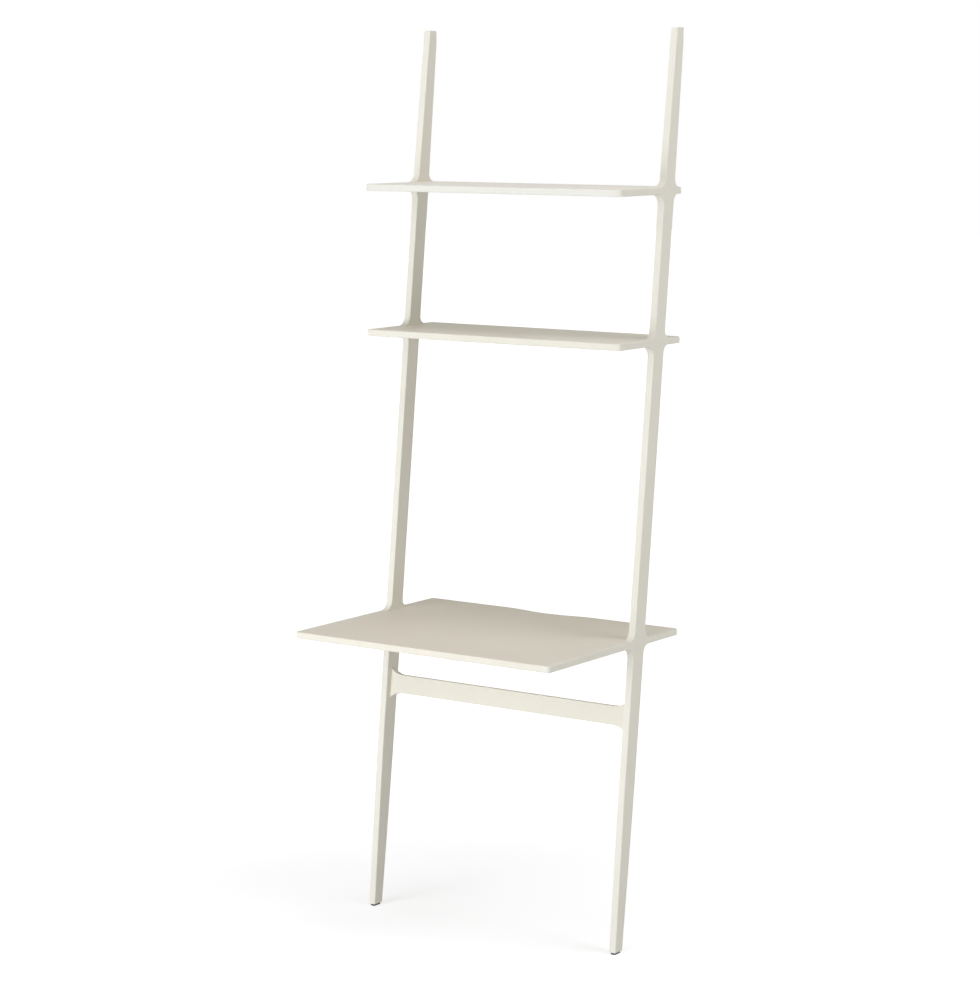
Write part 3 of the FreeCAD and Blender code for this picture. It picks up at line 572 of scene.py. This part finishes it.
# ---------------------------------------------------------------- boards and stretcher

SCOOP_HALF, SCOOP_DEPTH, SCOOP_COLUMNS = 0.135, 0.015, 36
RAIL_HALF = 0.0225                  # half the height of the rail's bar
FLARE_RUN, FLARE_RISE, FLARE_RINGS = 0.036, 0.0155, 12


def scoop_at(x):
    """Depth of the cable scoop, an S-curve down and up again."""
    quarter = SCOOP_HALF / 2
    radius = (quarter ** 2 + (SCOOP_DEPTH / 2) ** 2) / SCOOP_DEPTH
    run = SCOOP_HALF - abs(x) if abs(x) > quarter else abs(x)
    drop = radius - math.sqrt(radius ** 2 - run ** 2)
    return drop if abs(x) > quarter else SCOOP_DEPTH - drop


def carve_scoop(piece):
    """Divide the middle of the back edge into columns and move each forward."""
    edit(piece)
    for place in (-SCOOP_HALF, SCOOP_HALF):
        bpy.ops.mesh.select_all(action="SELECT")
        bpy.ops.mesh.bisect(plane_co=(place, 0, 0), plane_no=(1, 0, 0))
    pick(piece, "edges", lambda edge: runs_along(edge, 0) and near(middle(edge).y, WALL)
         and near(middle(edge).x, 0))
    bpy.ops.mesh.subdivide(number_cuts=SCOOP_COLUMNS - 1)
    for column in range(1, SCOOP_COLUMNS):
        place = -SCOOP_HALF + column * (2 * SCOOP_HALF / SCOOP_COLUMNS)
        pick(piece, "verts", lambda vert: near(vert.co.x, place) and near(vert.co.y, WALL))
        bpy.ops.transform.translate(value=(0, -scoop_at(place), 0))
    leave_edit()


def end_share(edge):
    """Small rounding at the ends that meet the side frames, full along front and back."""
    return JOINT_EASE if near(abs(middle(edge).x), HALF_INNER) else 1


def board(level):
    top, front = LEVELS[level]
    piece = add_block(BOARDS[level] + "_board", (-HALF_INNER, front, top - BOARD),
                      (HALF_INNER, WALL, top))
    if level == "desk":
        carve_scoop(piece)
    ease_edges(piece, EASE, end_share)
    bore_ends(piece, *cam_places(level), top - BOARD / 2, top - BOARD)
    finish_faces(piece)
    return piece, [BOARDS[level]]


def flare_end(piece, way):
    """Draw one end of the rail's bar out to the side frame, ring by ring along an arc."""
    radius = (FLARE_RUN ** 2 + FLARE_RISE ** 2) / (2 * FLARE_RISE)
    full_turn = math.asin(FLARE_RUN / radius)
    bar_end = HALF_INNER - FLARE_RUN
    last_x, last_half = bar_end, RAIL_HALF
    for ring in range(1, FLARE_RINGS + 1):
        turn = full_turn * ring / FLARE_RINGS
        x, half = bar_end + radius * math.sin(turn), RAIL_HALF + radius * (1 - math.cos(turn))
        pick(piece, "faces", lambda face: face.normal.x * way > 0.9 and near(
            face.calc_center_median().x, way * last_x))
        draw_out(way * (x - last_x), 0, 0)
        scale_about((way * x, 0, 0), 1, 1, half / last_half)
        last_x, last_half = x, half


def set_between_stiles(piece):
    """Raise the rail, or its cams, from lying at the origin to its place and lean."""
    turn_and_place(piece, math.radians(90) - LEAN, (0, stile_middle(RAIL_HEIGHT), RAIL_HEIGHT))


def stretcher():
    """The rail is shaped upright at the origin and laid flat for its bores."""
    bar_end = HALF_INNER - FLARE_RUN
    piece = add_block("stretcher_rail", (-bar_end, -BOARD / 2, -RAIL_HALF),
                      (bar_end, BOARD / 2, RAIL_HALF))
    edit(piece)
    flare_end(piece, -1)
    flare_end(piece, 1)
    merge_faces(piece, 1)
    leave_edit()
    ease_edges(piece, RAIL_EASE, end_share)
    turn_and_place(piece, math.radians(-90), (0, 0, 0))
    bore_ends(piece, [0], [-RAIL_DOWEL_STEP, RAIL_DOWEL_STEP], 0, -BOARD / 2)
    set_between_stiles(piece)
    finish_faces(piece)
    return piece, ["stretcher"]


# ---------------------------------------------------------------- feet, screws and cams

# Diameter, head's diameter, length and pitch.
FOOT_SCREW = (0.0035, 0.0070, 0.0250, 0.0014)
PLATE_SCREW = (0.0026, 0.0050, 0.0120, 0.0011)
# One turn of a thread: share of the pitch, and of the shank's radius.
THREAD = ((0.15, 0.72), (0.50, 0.72), (0.72, 0.99), (0.80, 0.99))
RECESS = (0.27, 0.075, 0.17)        # reach, half width and depth, as shares of the head
RIM = 0.0001            # by which a screw's rim is broken and its point cut off
PLAIN_NECK = 0.001      # from the head's cone to the thread
THREAD_END = 0.0004     # from the thread to the point
TAPER = 1.5             # the tapered end, in diameters
TAPER_SHARE, POINT_SHARE = 0.22, 0.2        # of the shank, where the thread and the point end

# A cam has a rim round its sunk face, a cross with a round middle, an arrow that points at its
# bolt, and a slot for the bolt. The pairs are diameter and length.
CAM_BODY, CAM_EASE = (0.015, 0.012), 0.0004
CAM_RIM, CAM_SINK = 0.0007, 0.0003
CAM_CROSS, CROSS_MIDDLE = (0.0044, 0.00075, 0.0022), (0.0034, 0.0038)
CAM_ARROW, ARROW_PLACE = (0.0016, 0.0017), 0.0053
CAM_SLOT, SLOT_START = (0.0066, 0.015), -0.0045

PAD_CORNER, PAD_EASE = 0.003, 0.0007
SINK_MOUTH, SINK_END, SINK_DEPTH = 0.00355, 0.0012, 0.00248     # radii and depth


def cross_cutter(reach, width, depth):
    """Two crossed blocks up into a face at the origin."""
    return [add_block("cross", (-x, -y, BELOW), (x, y, depth))
            for x, y in ((reach, width), (width, reach))]


def screw_rings(diameter, head, length, pitch):
    """Height and radius of a countersunk screw's rings, from the rim of its head to its point."""
    outer, shank = head / 2 - RIM, diameter / 2
    neck, taper = outer - shank, diameter * TAPER
    height = neck + PLAIN_NECK
    rings = [(RIM, outer), (RIM + neck, shank), (height, shank)]
    while height + pitch < length - THREAD_END:
        for part, share in THREAD:
            rise = height + pitch * part
            room = min(1, TAPER_SHARE + (1 - TAPER_SHARE) * max(length - rise, 0) / taper)
            rings.append((rise, shank * share * room))
        height += pitch
    return rings + [(length - RIM, shank * POINT_SHARE)]


def wood_screw(name, diameter, head, length, pitch):
    """A countersunk screw with a cross recess, its head's face at the origin and its point up Z."""
    rings = screw_rings(diameter, head, length, pitch)
    last_height, last_radius = 0, rings[0][1] - RIM
    bpy.ops.object.select_all(action="DESELECT")
    bpy.ops.mesh.primitive_circle_add(vertices=24, radius=last_radius, fill_type="NGON")
    piece = fresh(name)
    edit(piece)
    for height, radius in rings:
        draw_out(0, 0, height - last_height)
        scale_about((0, 0, height), radius / last_radius, radius / last_radius, 1)
        last_height, last_radius = height, radius
    bpy.ops.mesh.select_all(action="SELECT")
    bpy.ops.mesh.normals_make_consistent(inside=False)
    leave_edit()
    cut_away(piece, cross_cutter(*(head * share for share in RECESS)), self_crossing=True)
    finish_faces(piece, angle=40)
    return piece


def joined_copies(name, pattern, spots):
    """One piece of copies of a pattern, at spots of (turn, place, spin)."""
    copies = []
    for spot in spots:
        copy = pattern.copy()
        copy.data = pattern.data.copy()
        bpy.context.scene.collection.objects.link(copy)
        turn_and_place(copy, *spot)
        copies.append(copy)
    bpy.data.objects.remove(pattern, do_unlink=True)
    bpy.ops.object.select_all(action="DESELECT")
    for copy in copies:
        copy.select_set(True)
    bpy.context.view_layer.objects.active = copies[0]
    bpy.ops.object.join()
    copies[0].name = copies[0].data.name = name
    return copies[0]


def foot_screws():
    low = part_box("foot_pad_screws")[0][2]
    pattern = wood_screw("foot_screw", *FOOT_SCREW)
    spots = [(0, (sign * FRAME_MIDDLE, stile_middle(FOOT), low)) for sign in (-1, 1)]
    return joined_copies("foot_screw_pair", pattern, spots), ["foot_pad_screws"]


def wall_plate_screws():
    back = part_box("hanger_screws")[1][1]
    pattern = wood_screw("plate_screw", *PLATE_SCREW)
    spots = [(math.radians(90), (sign * FRAME_MIDDLE, back, PLATE_HEIGHT + step))
             for sign in (-1, 1) for step in (-PLATE_SCREW_STEP, PLATE_SCREW_STEP)]
    return joined_copies("plate_screw_set", pattern, spots), ["hanger_screws"]


def cam_lock():
    """A cast cam with its face down at the origin and the slot for its bolt towards +X."""
    piece = add_pin("cam", (0, 0, 0), (0, 0, 1), *CAM_BODY)
    edit(piece)
    pick(piece, "edges", lambda edge: near(edge.verts[0].co.z, edge.verts[1].co.z))
    round_picked(CAM_EASE, segments=2)
    pick(piece, "faces", lambda face: face.normal.z < -0.99)
    bpy.ops.mesh.inset(thickness=CAM_RIM)
    draw_out(0, 0, CAM_SINK)
    leave_edit()
    cross = cross_cutter(*CAM_CROSS)
    cross.append(add_pin("cross_middle", (0, 0, BELOW), (0, 0, 1), *CROSS_MIDDLE, 24))
    cut_away(piece, cross, self_crossing=True)
    arrow = add_pin("arrow", (ARROW_PLACE, 0, BELOW), (0, 0, 1), *CAM_ARROW, 3)
    edit(arrow)
    bpy.ops.mesh.select_all(action="SELECT")
    bpy.ops.transform.rotate(value=math.radians(90), orient_axis="Z",
                             center_override=(ARROW_PLACE, 0, 0))
    leave_edit()
    cut_away(piece, [arrow])
    cut_away(piece, [add_pin("bolt_slot", (SLOT_START, 0, BOARD / 2), (1, 0, 0),
                             *CAM_SLOT, 32)])
    finish_faces(piece, angle=35)
    return piece


def cam_set(name, places, face_height):
    """The cams of one board or rail at both its ends."""
    spots = [(0, (sign * CAM_PLACE, y, face_height), math.radians(0 if sign > 0 else 180))
             for sign in (-1, 1) for y in places]
    return joined_copies(f"{name}_cams", cam_lock(), spots), [f"{name}_cam_locks"]


def board_cams(level):
    return cam_set(BOARDS[level], cam_places(level)[0], LEVELS[level][0] - BOARD)


def stretcher_cams():
    piece, stands_for = cam_set("stretcher", [0], -BOARD / 2)
    set_between_stiles(piece)
    return piece, stands_for


def foot_pad(side):
    """A glide with a rounded lower edge and a countersunk hole for its screw."""
    low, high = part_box(f"{side}_foot_pad")
    piece = add_block(f"{side}_foot_glide", low, high)
    edit(piece)
    pick(piece, "edges", lambda edge: runs_along(edge, 2))
    round_picked(PAD_CORNER, segments=6)
    pick(piece, "edges", lambda edge: near(edge.verts[0].co.z, 0) and near(edge.verts[1].co.z, 0))
    round_picked(PAD_EASE, segments=3)
    leave_edit()
    x, y = SIDES[side] * FRAME_MIDDLE, stile_middle(FOOT)
    bpy.ops.object.select_all(action="DESELECT")
    bpy.ops.mesh.primitive_cone_add(
        vertices=32, radius1=SINK_MOUTH, radius2=SINK_END, depth=SINK_DEPTH,
        location=(x, y, SINK_DEPTH / 2 - RIM))
    cut_away(piece, [fresh("countersink")])
    cut_away(piece, [add_pin("screw_way", (x, y, BELOW), (0, 0, 1), *PAD_SCREW_HOLE, 28)])
    finish_faces(piece)
    return piece, [f"{side}_foot_pad"]


# ---------------------------------------------------------------- finishes

# Scales of the lacquer's patterns, the higher the finer.
BROAD_SCALE, CLOUD_SCALE, SPECK_SCALE = 2.6, 11.0, 900.0
WIPE_SCALE, PEEL_SCALE, PORE_SCALE = 6.0, 430.0, 4.0
NYLON, NYLON_SCUFF = (0.012, 0.012, 0.013, 1), (0.050, 0.048, 0.045, 1)
BEECH_DARK, BEECH_LIGHT = (0.52, 0.33, 0.19, 1), (0.62, 0.43, 0.27, 1)
BEECH_FLECK = (0.36, 0.20, 0.11, 1)
# The main colour of each lacquered piece, and the colour of its soft mottling; the rail's and the
# boards' hold painted light or shade, as said below.
FRAME_TINT = ((0.803, 0.778, 0.687), (0.768, 0.738, 0.642))
# The rail's colours are darkened as painted shade, for the shade the desk casts on it.
RAIL_TINT_WITH_PAINTED_SHADE = ((0.777, 0.744, 0.645), (0.743, 0.706, 0.603))
# The boards' colours are tinted as painted light for the light on each level: warmer on the desk, a
# little warm on the middle shelf, bluer on the top shelf.
BOARD_TINTS_WITH_PAINTED_LIGHT = {
    "desk": ((0.795, 0.751, 0.649), (0.760, 0.712, 0.607)),
    "middle": ((0.799, 0.766, 0.666), (0.764, 0.727, 0.623)),
    "top": ((0.803, 0.794, 0.721), (0.768, 0.753, 0.674)),
}
# How much the grain of the wood below shows, and its pattern's scale along X, Y and Z.
UPRIGHT_GRAIN = (0.25, (55.0, 55.0, 2.5))
RAIL_GRAIN = (0.25, (2.5, 55.0, 55.0))
BOARD_GRAIN = (0.06, (3.0, 40.0, 40.0))


def new_group(name, inputs, outputs):
    """A shader node group; returns its tree with its input and output nodes."""
    tree = bpy.data.node_groups.new(name, "ShaderNodeTree")
    kinds = {"colour": "NodeSocketColor", "value": "NodeSocketFloat"}
    for label, kind, value in inputs:
        socket = tree.interface.new_socket(label, in_out="INPUT", socket_type=kinds[kind])
        socket.default_value = value
    for label, kind in outputs:
        tree.interface.new_socket(label, in_out="OUTPUT", socket_type=kinds[kind])
    return tree, node(tree, "NodeGroupInput", (-1200, 0)), node(tree, "NodeGroupOutput", (600, 0))


def noise(tree, vector, scale, detail, place, **more):
    made = node(tree, "ShaderNodeTexNoise", place, Scale=scale, Detail=detail, **more)
    tree.links.new(vector, made.inputs["Vector"])
    return made


def stretched(tree, vector, scale, place):
    made = node(tree, "ShaderNodeMapping", place, Scale=scale)
    tree.links.new(vector, made.inputs["Vector"])
    return made.outputs[0]


def spread(tree, value, low, high, place, source=(0.3, 0.7)):
    """A texture's value spread from low to high, each a number or a socket."""
    made = node(tree, "ShaderNodeMapRange", place)
    tree.links.new(value, made.inputs["Value"])
    for label, amount in zip(("From Min", "From Max", "To Min", "To Max"), (*source, low, high)):
        if isinstance(amount, (int, float)):
            made.inputs[label].default_value = amount
        else:
            tree.links.new(amount, made.inputs[label])
    return made.outputs[0]


def math_node(tree, operation, first, second, place=(0, 0)):
    made = node(tree, "ShaderNodeMath", place, operation=operation)
    for socket, amount in zip(made.inputs, (first, second)):
        if isinstance(amount, (int, float)):
            socket.default_value = amount
        else:
            tree.links.new(amount, socket)
    return made.outputs[0]


def blend(tree, factor, first, second, place=(0, 0)):
    """A mix of two colours; sockets go by number, because other kinds have the same names."""
    made = node(tree, "ShaderNodeMix", place, data_type="RGBA")
    for index, amount in ((0, factor), (6, first), (7, second)):
        if isinstance(amount, (int, float, tuple)):
            made.inputs[index].default_value = amount
        else:
            tree.links.new(amount, made.inputs[index])
    return made.outputs[2]


def paint_film_group():
    """Sprayed lacquer: soft mottling, orange peel, wiped patches, and grain that shows through."""
    tree, given, out = new_group(
        "paint_film",
        [("Colour", "colour", (0.8, 0.8, 0.8, 1)), ("Shade", "colour", (0.7, 0.7, 0.7, 1)),
         ("Mottling", "value", 0.3), ("Roughness", "value", 0.4), ("Wiped", "value", 0.05),
         ("Peel", "value", 0.3), ("Grain", "value", 0.1), ("Grain X", "value", 60.0),
         ("Grain Y", "value", 60.0), ("Grain Z", "value", 3.0)],
        [("Colour", "colour"), ("Roughness", "value"), ("Height", "value")])
    place = node(tree, "ShaderNodeTexCoord", (-1200, 400)).outputs["Object"]
    broad = noise(tree, place, BROAD_SCALE, 3.0, (-900, 500)).outputs[0]
    cloud = noise(tree, place, CLOUD_SCALE, 4.0, (-900, 300)).outputs[0]
    mottle = math_node(tree, "ADD", math_node(tree, "MULTIPLY", broad, 0.65), math_node(
        tree, "MULTIPLY", cloud, 0.35), (-600, 400))
    mottle = spread(tree, mottle, 0.0, given.outputs["Mottling"], (-400, 400), (0.38, 0.62))
    colour = blend(tree, mottle, given.outputs["Colour"], given.outputs["Shade"], (0, 400))
    specks = noise(tree, place, SPECK_SCALE, 1.0, (-900, 100)).outputs[0]
    specks = spread(tree, specks, 0.0, 0.35, (-600, 100), (0.74, 0.80))
    colour = blend(tree, specks, colour, given.outputs["Shade"], (200, 300))
    tree.links.new(colour, out.inputs["Colour"])
    wiped = noise(tree, place, WIPE_SCALE, 5.0, (-900, -100), Distortion=0.6).outputs[0]
    wiped = spread(tree, wiped, -1.0, 1.0, (-600, -100), (0.35, 0.65))
    rough = math_node(tree, "MULTIPLY", wiped, given.outputs["Wiped"], (-300, -100))
    rough = math_node(tree, "ADD", rough, given.outputs["Roughness"], (-100, -100))
    tree.links.new(rough, out.inputs["Roughness"])
    stretch = node(tree, "ShaderNodeCombineXYZ", (-1000, -500))
    for socket, label in zip(stretch.inputs, ("Grain X", "Grain Y", "Grain Z")):
        tree.links.new(given.outputs[label], socket)
    along = node(tree, "ShaderNodeVectorMath", (-800, -500), operation="MULTIPLY")
    tree.links.new(place, along.inputs[0])
    tree.links.new(stretch.outputs[0], along.inputs[1])
    pores = noise(tree, along.outputs[0], PORE_SCALE, 3.0, (-600, -500)).outputs[0]
    pores = spread(tree, pores, 0.0, 1.0, (-400, -500), (0.42, 0.66))
    peel = noise(tree, place, PEEL_SCALE, 1.5, (-600, -300)).outputs[0]
    height = math_node(tree, "SUBTRACT", math_node(tree, "MULTIPLY", peel, given.outputs["Peel"]),
                       math_node(tree, "MULTIPLY", pores, given.outputs["Grain"]), (100, -400))
    tree.links.new(height, out.inputs["Height"])
    return tree


def rub_group():
    """Fine scuffs and handling marks as a mask."""
    tree, given, out = new_group(
        "rubbed_marks", [("Amount", "value", 0.5), ("Scale", "value", 40.0)], [("Mask", "value")])
    place = node(tree, "ShaderNodeTexCoord", (-1000, 0)).outputs["Object"]
    patch = node(tree, "ShaderNodeTexNoise", (-700, 100), Detail=6.0, Roughness=0.65)
    tree.links.new(place, patch.inputs["Vector"])
    tree.links.new(given.outputs["Scale"], patch.inputs["Scale"])
    mask = spread(tree, patch.outputs[0], 0.0, 1.0, (-400, 100), (0.5, 0.75))
    tree.links.new(math_node(tree, "MULTIPLY", mask, given.outputs["Amount"], (0, 0)),
                   out.inputs["Mask"])
    return tree


FILM, RUB = paint_film_group(), rub_group()


def new_material(name, **sockets):
    """A material whose constants sit on the shader's own sockets."""
    material = bpy.data.materials.new(name)
    material.use_nodes = True
    tree = material.node_tree
    shader = tree.nodes["Principled BSDF"]
    for label, value in sockets.items():
        shader.inputs[label.replace("_", " ")].default_value = value
    return material, tree, shader


def place_group(tree, group, place, **values):
    made = node(tree, "ShaderNodeGroup", place)
    made.node_tree = group
    for label, value in values.items():
        made.inputs[label.replace("_", " ")].default_value = value
    return made


def bump(tree, shader, height, distance):
    made = node(tree, "ShaderNodeBump", (-200, -300), Distance=distance)
    tree.links.new(height, made.inputs["Height"])
    tree.links.new(made.outputs[0], shader.inputs["Normal"])


def lacquer(name, colour, shade, grain):
    """Satin lacquer in one main colour, with the colour of its mottling and the grain below."""
    material, tree, shader = new_material(name, IOR=1.5, Specular_IOR_Level=0.25)
    amount, across = grain
    film = place_group(tree, FILM, (-700, 0), Colour=(*colour, 1), Shade=(*shade, 1),
                       Mottling=0.45, Roughness=0.58, Wiped=0.045, Peel=0.35, Grain=amount,
                       Grain_X=across[0], Grain_Y=across[1], Grain_Z=across[2])
    tree.links.new(film.outputs["Colour"], shader.inputs["Base Color"])
    tree.links.new(film.outputs["Roughness"], shader.inputs["Roughness"])
    bump(tree, shader, film.outputs["Height"], 0.00012)
    return material


def pad_nylon():
    material, tree, shader = new_material("pad_nylon", IOR=1.53)
    rub = place_group(tree, RUB, (-900, 200), Amount=0.8, Scale=260.0)
    colour = blend(tree, rub.outputs["Mask"], NYLON, NYLON_SCUFF, (-500, 200))
    tree.links.new(colour, shader.inputs["Base Color"])
    rough = spread(tree, rub.outputs["Mask"], 0.55, 0.72, (-500, 0), (0.0, 0.8))
    tree.links.new(rough, shader.inputs["Roughness"])
    place = node(tree, "ShaderNodeTexCoord", (-900, -300)).outputs["Object"]
    bump(tree, shader, noise(tree, place, 1400.0, 2.0, (-600, -300)).outputs[0], 0.00008)
    return material


def metal(name, colour, dark, roughness, grain_scale, stretch):
    material, tree, shader = new_material(name, Metallic=1.0)
    rub = place_group(tree, RUB, (-900, 300), Amount=0.7, Scale=180.0)
    shade = blend(tree, rub.outputs["Mask"], (*colour, 1), (*dark, 1), (-500, 300))
    tree.links.new(shade, shader.inputs["Base Color"])
    place = node(tree, "ShaderNodeTexCoord", (-1200, -200)).outputs["Object"]
    fine = noise(tree, stretched(tree, place, stretch, (-1000, -200)), grain_scale, 3.0,
                 (-800, -200)).outputs[0]
    tree.links.new(spread(tree, fine, roughness - 0.07, roughness + 0.10, (-500, -100)),
                   shader.inputs["Roughness"])
    bump(tree, shader, fine, 0.00003)
    return material


def joint_beech():
    material, tree, shader = new_material("joint_beech", Roughness=0.62)
    place = node(tree, "ShaderNodeTexCoord", (-1200, 0)).outputs["Object"]
    rings = noise(tree, stretched(tree, place, (4.0, 60.0, 60.0), (-1000, 200)), 3.0, 4.0,
                  (-800, 200)).outputs[0]
    flecks = noise(tree, stretched(tree, place, (120.0, 900.0, 900.0), (-1000, -100)), 1.0, 2.0,
                   (-800, -100)).outputs[0]
    colour = blend(tree, spread(tree, rings, 0.0, 1.0, (-600, 200)), BEECH_DARK, BEECH_LIGHT,
                   (-300, 300))
    colour = blend(tree, spread(tree, flecks, 0.0, 0.7, (-600, 0), (0.58, 0.70)), colour,
                   BEECH_FLECK, (-100, 200))
    tree.links.new(colour, shader.inputs["Base Color"])
    bump(tree, shader, flecks, 0.00005)
    return material


frame_lacquer = lacquer("frame_lacquer", *FRAME_TINT, UPRIGHT_GRAIN)
# Painted shade: the rail's lacquer is darker than the frame's for the desk's shade on it.
rail_lacquer_painted_shade = lacquer("rail_lacquer_painted_shade", *RAIL_TINT_WITH_PAINTED_SHADE, RAIL_GRAIN)
# Painted light: each board gets its own tinted copy of one lacquer, warmer or bluer for the light
# on its level.
board_lacquers_painted_light = {level: lacquer(f"{level}_board_lacquer", *tint, BOARD_GRAIN)
                  for level, tint in BOARD_TINTS_WITH_PAINTED_LIGHT.items()}
nylon = pad_nylon()
cast_zinc = metal("cast_zinc", (0.60, 0.59, 0.57), (0.47, 0.46, 0.44), 0.40, 600.0, (1, 1, 1))
plated_steel = metal("plated_steel", (0.56, 0.56, 0.55), (0.42, 0.42, 0.41), 0.30, 90.0,
                     (1, 1, 14))
beech = joint_beech()


# ---------------------------------------------------------------- assembly

def settle(made, material):
    """Give a made piece its material, and let it stand for its nodes in the fixed frame."""
    piece, stands_for = made
    piece.data.materials.clear()
    piece.data.materials.append(material)
    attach(piece, "root")
    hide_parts(*stands_for)


for side in ("left", "right"):
    settle(side_frame(side), frame_lacquer)
    settle(foot_pad(side), nylon)
for level in LEVELS:
    settle(board(level), board_lacquers_painted_light[level])
    settle(board_cams(level), cast_zinc)
settle(stretcher(), rail_lacquer_painted_shade)
settle(stretcher_cams(), cast_zinc)
settle(foot_screws(), plated_steel)
settle(wall_plate_screws(), plated_steel)

FITTING_FINISHES = {"cam_locks": cast_zinc, "cam_bolts": plated_steel, "hanger_plate": plated_steel,
                    "screws": plated_steel, "dowels": beech, "tenons": beech}
for name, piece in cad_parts.items():
    finish = next((made for word, made in FITTING_FINISHES.items() if name.endswith(word)),
                  frame_lacquer)
    piece.data.materials.clear()
    piece.data.materials.append(finish)
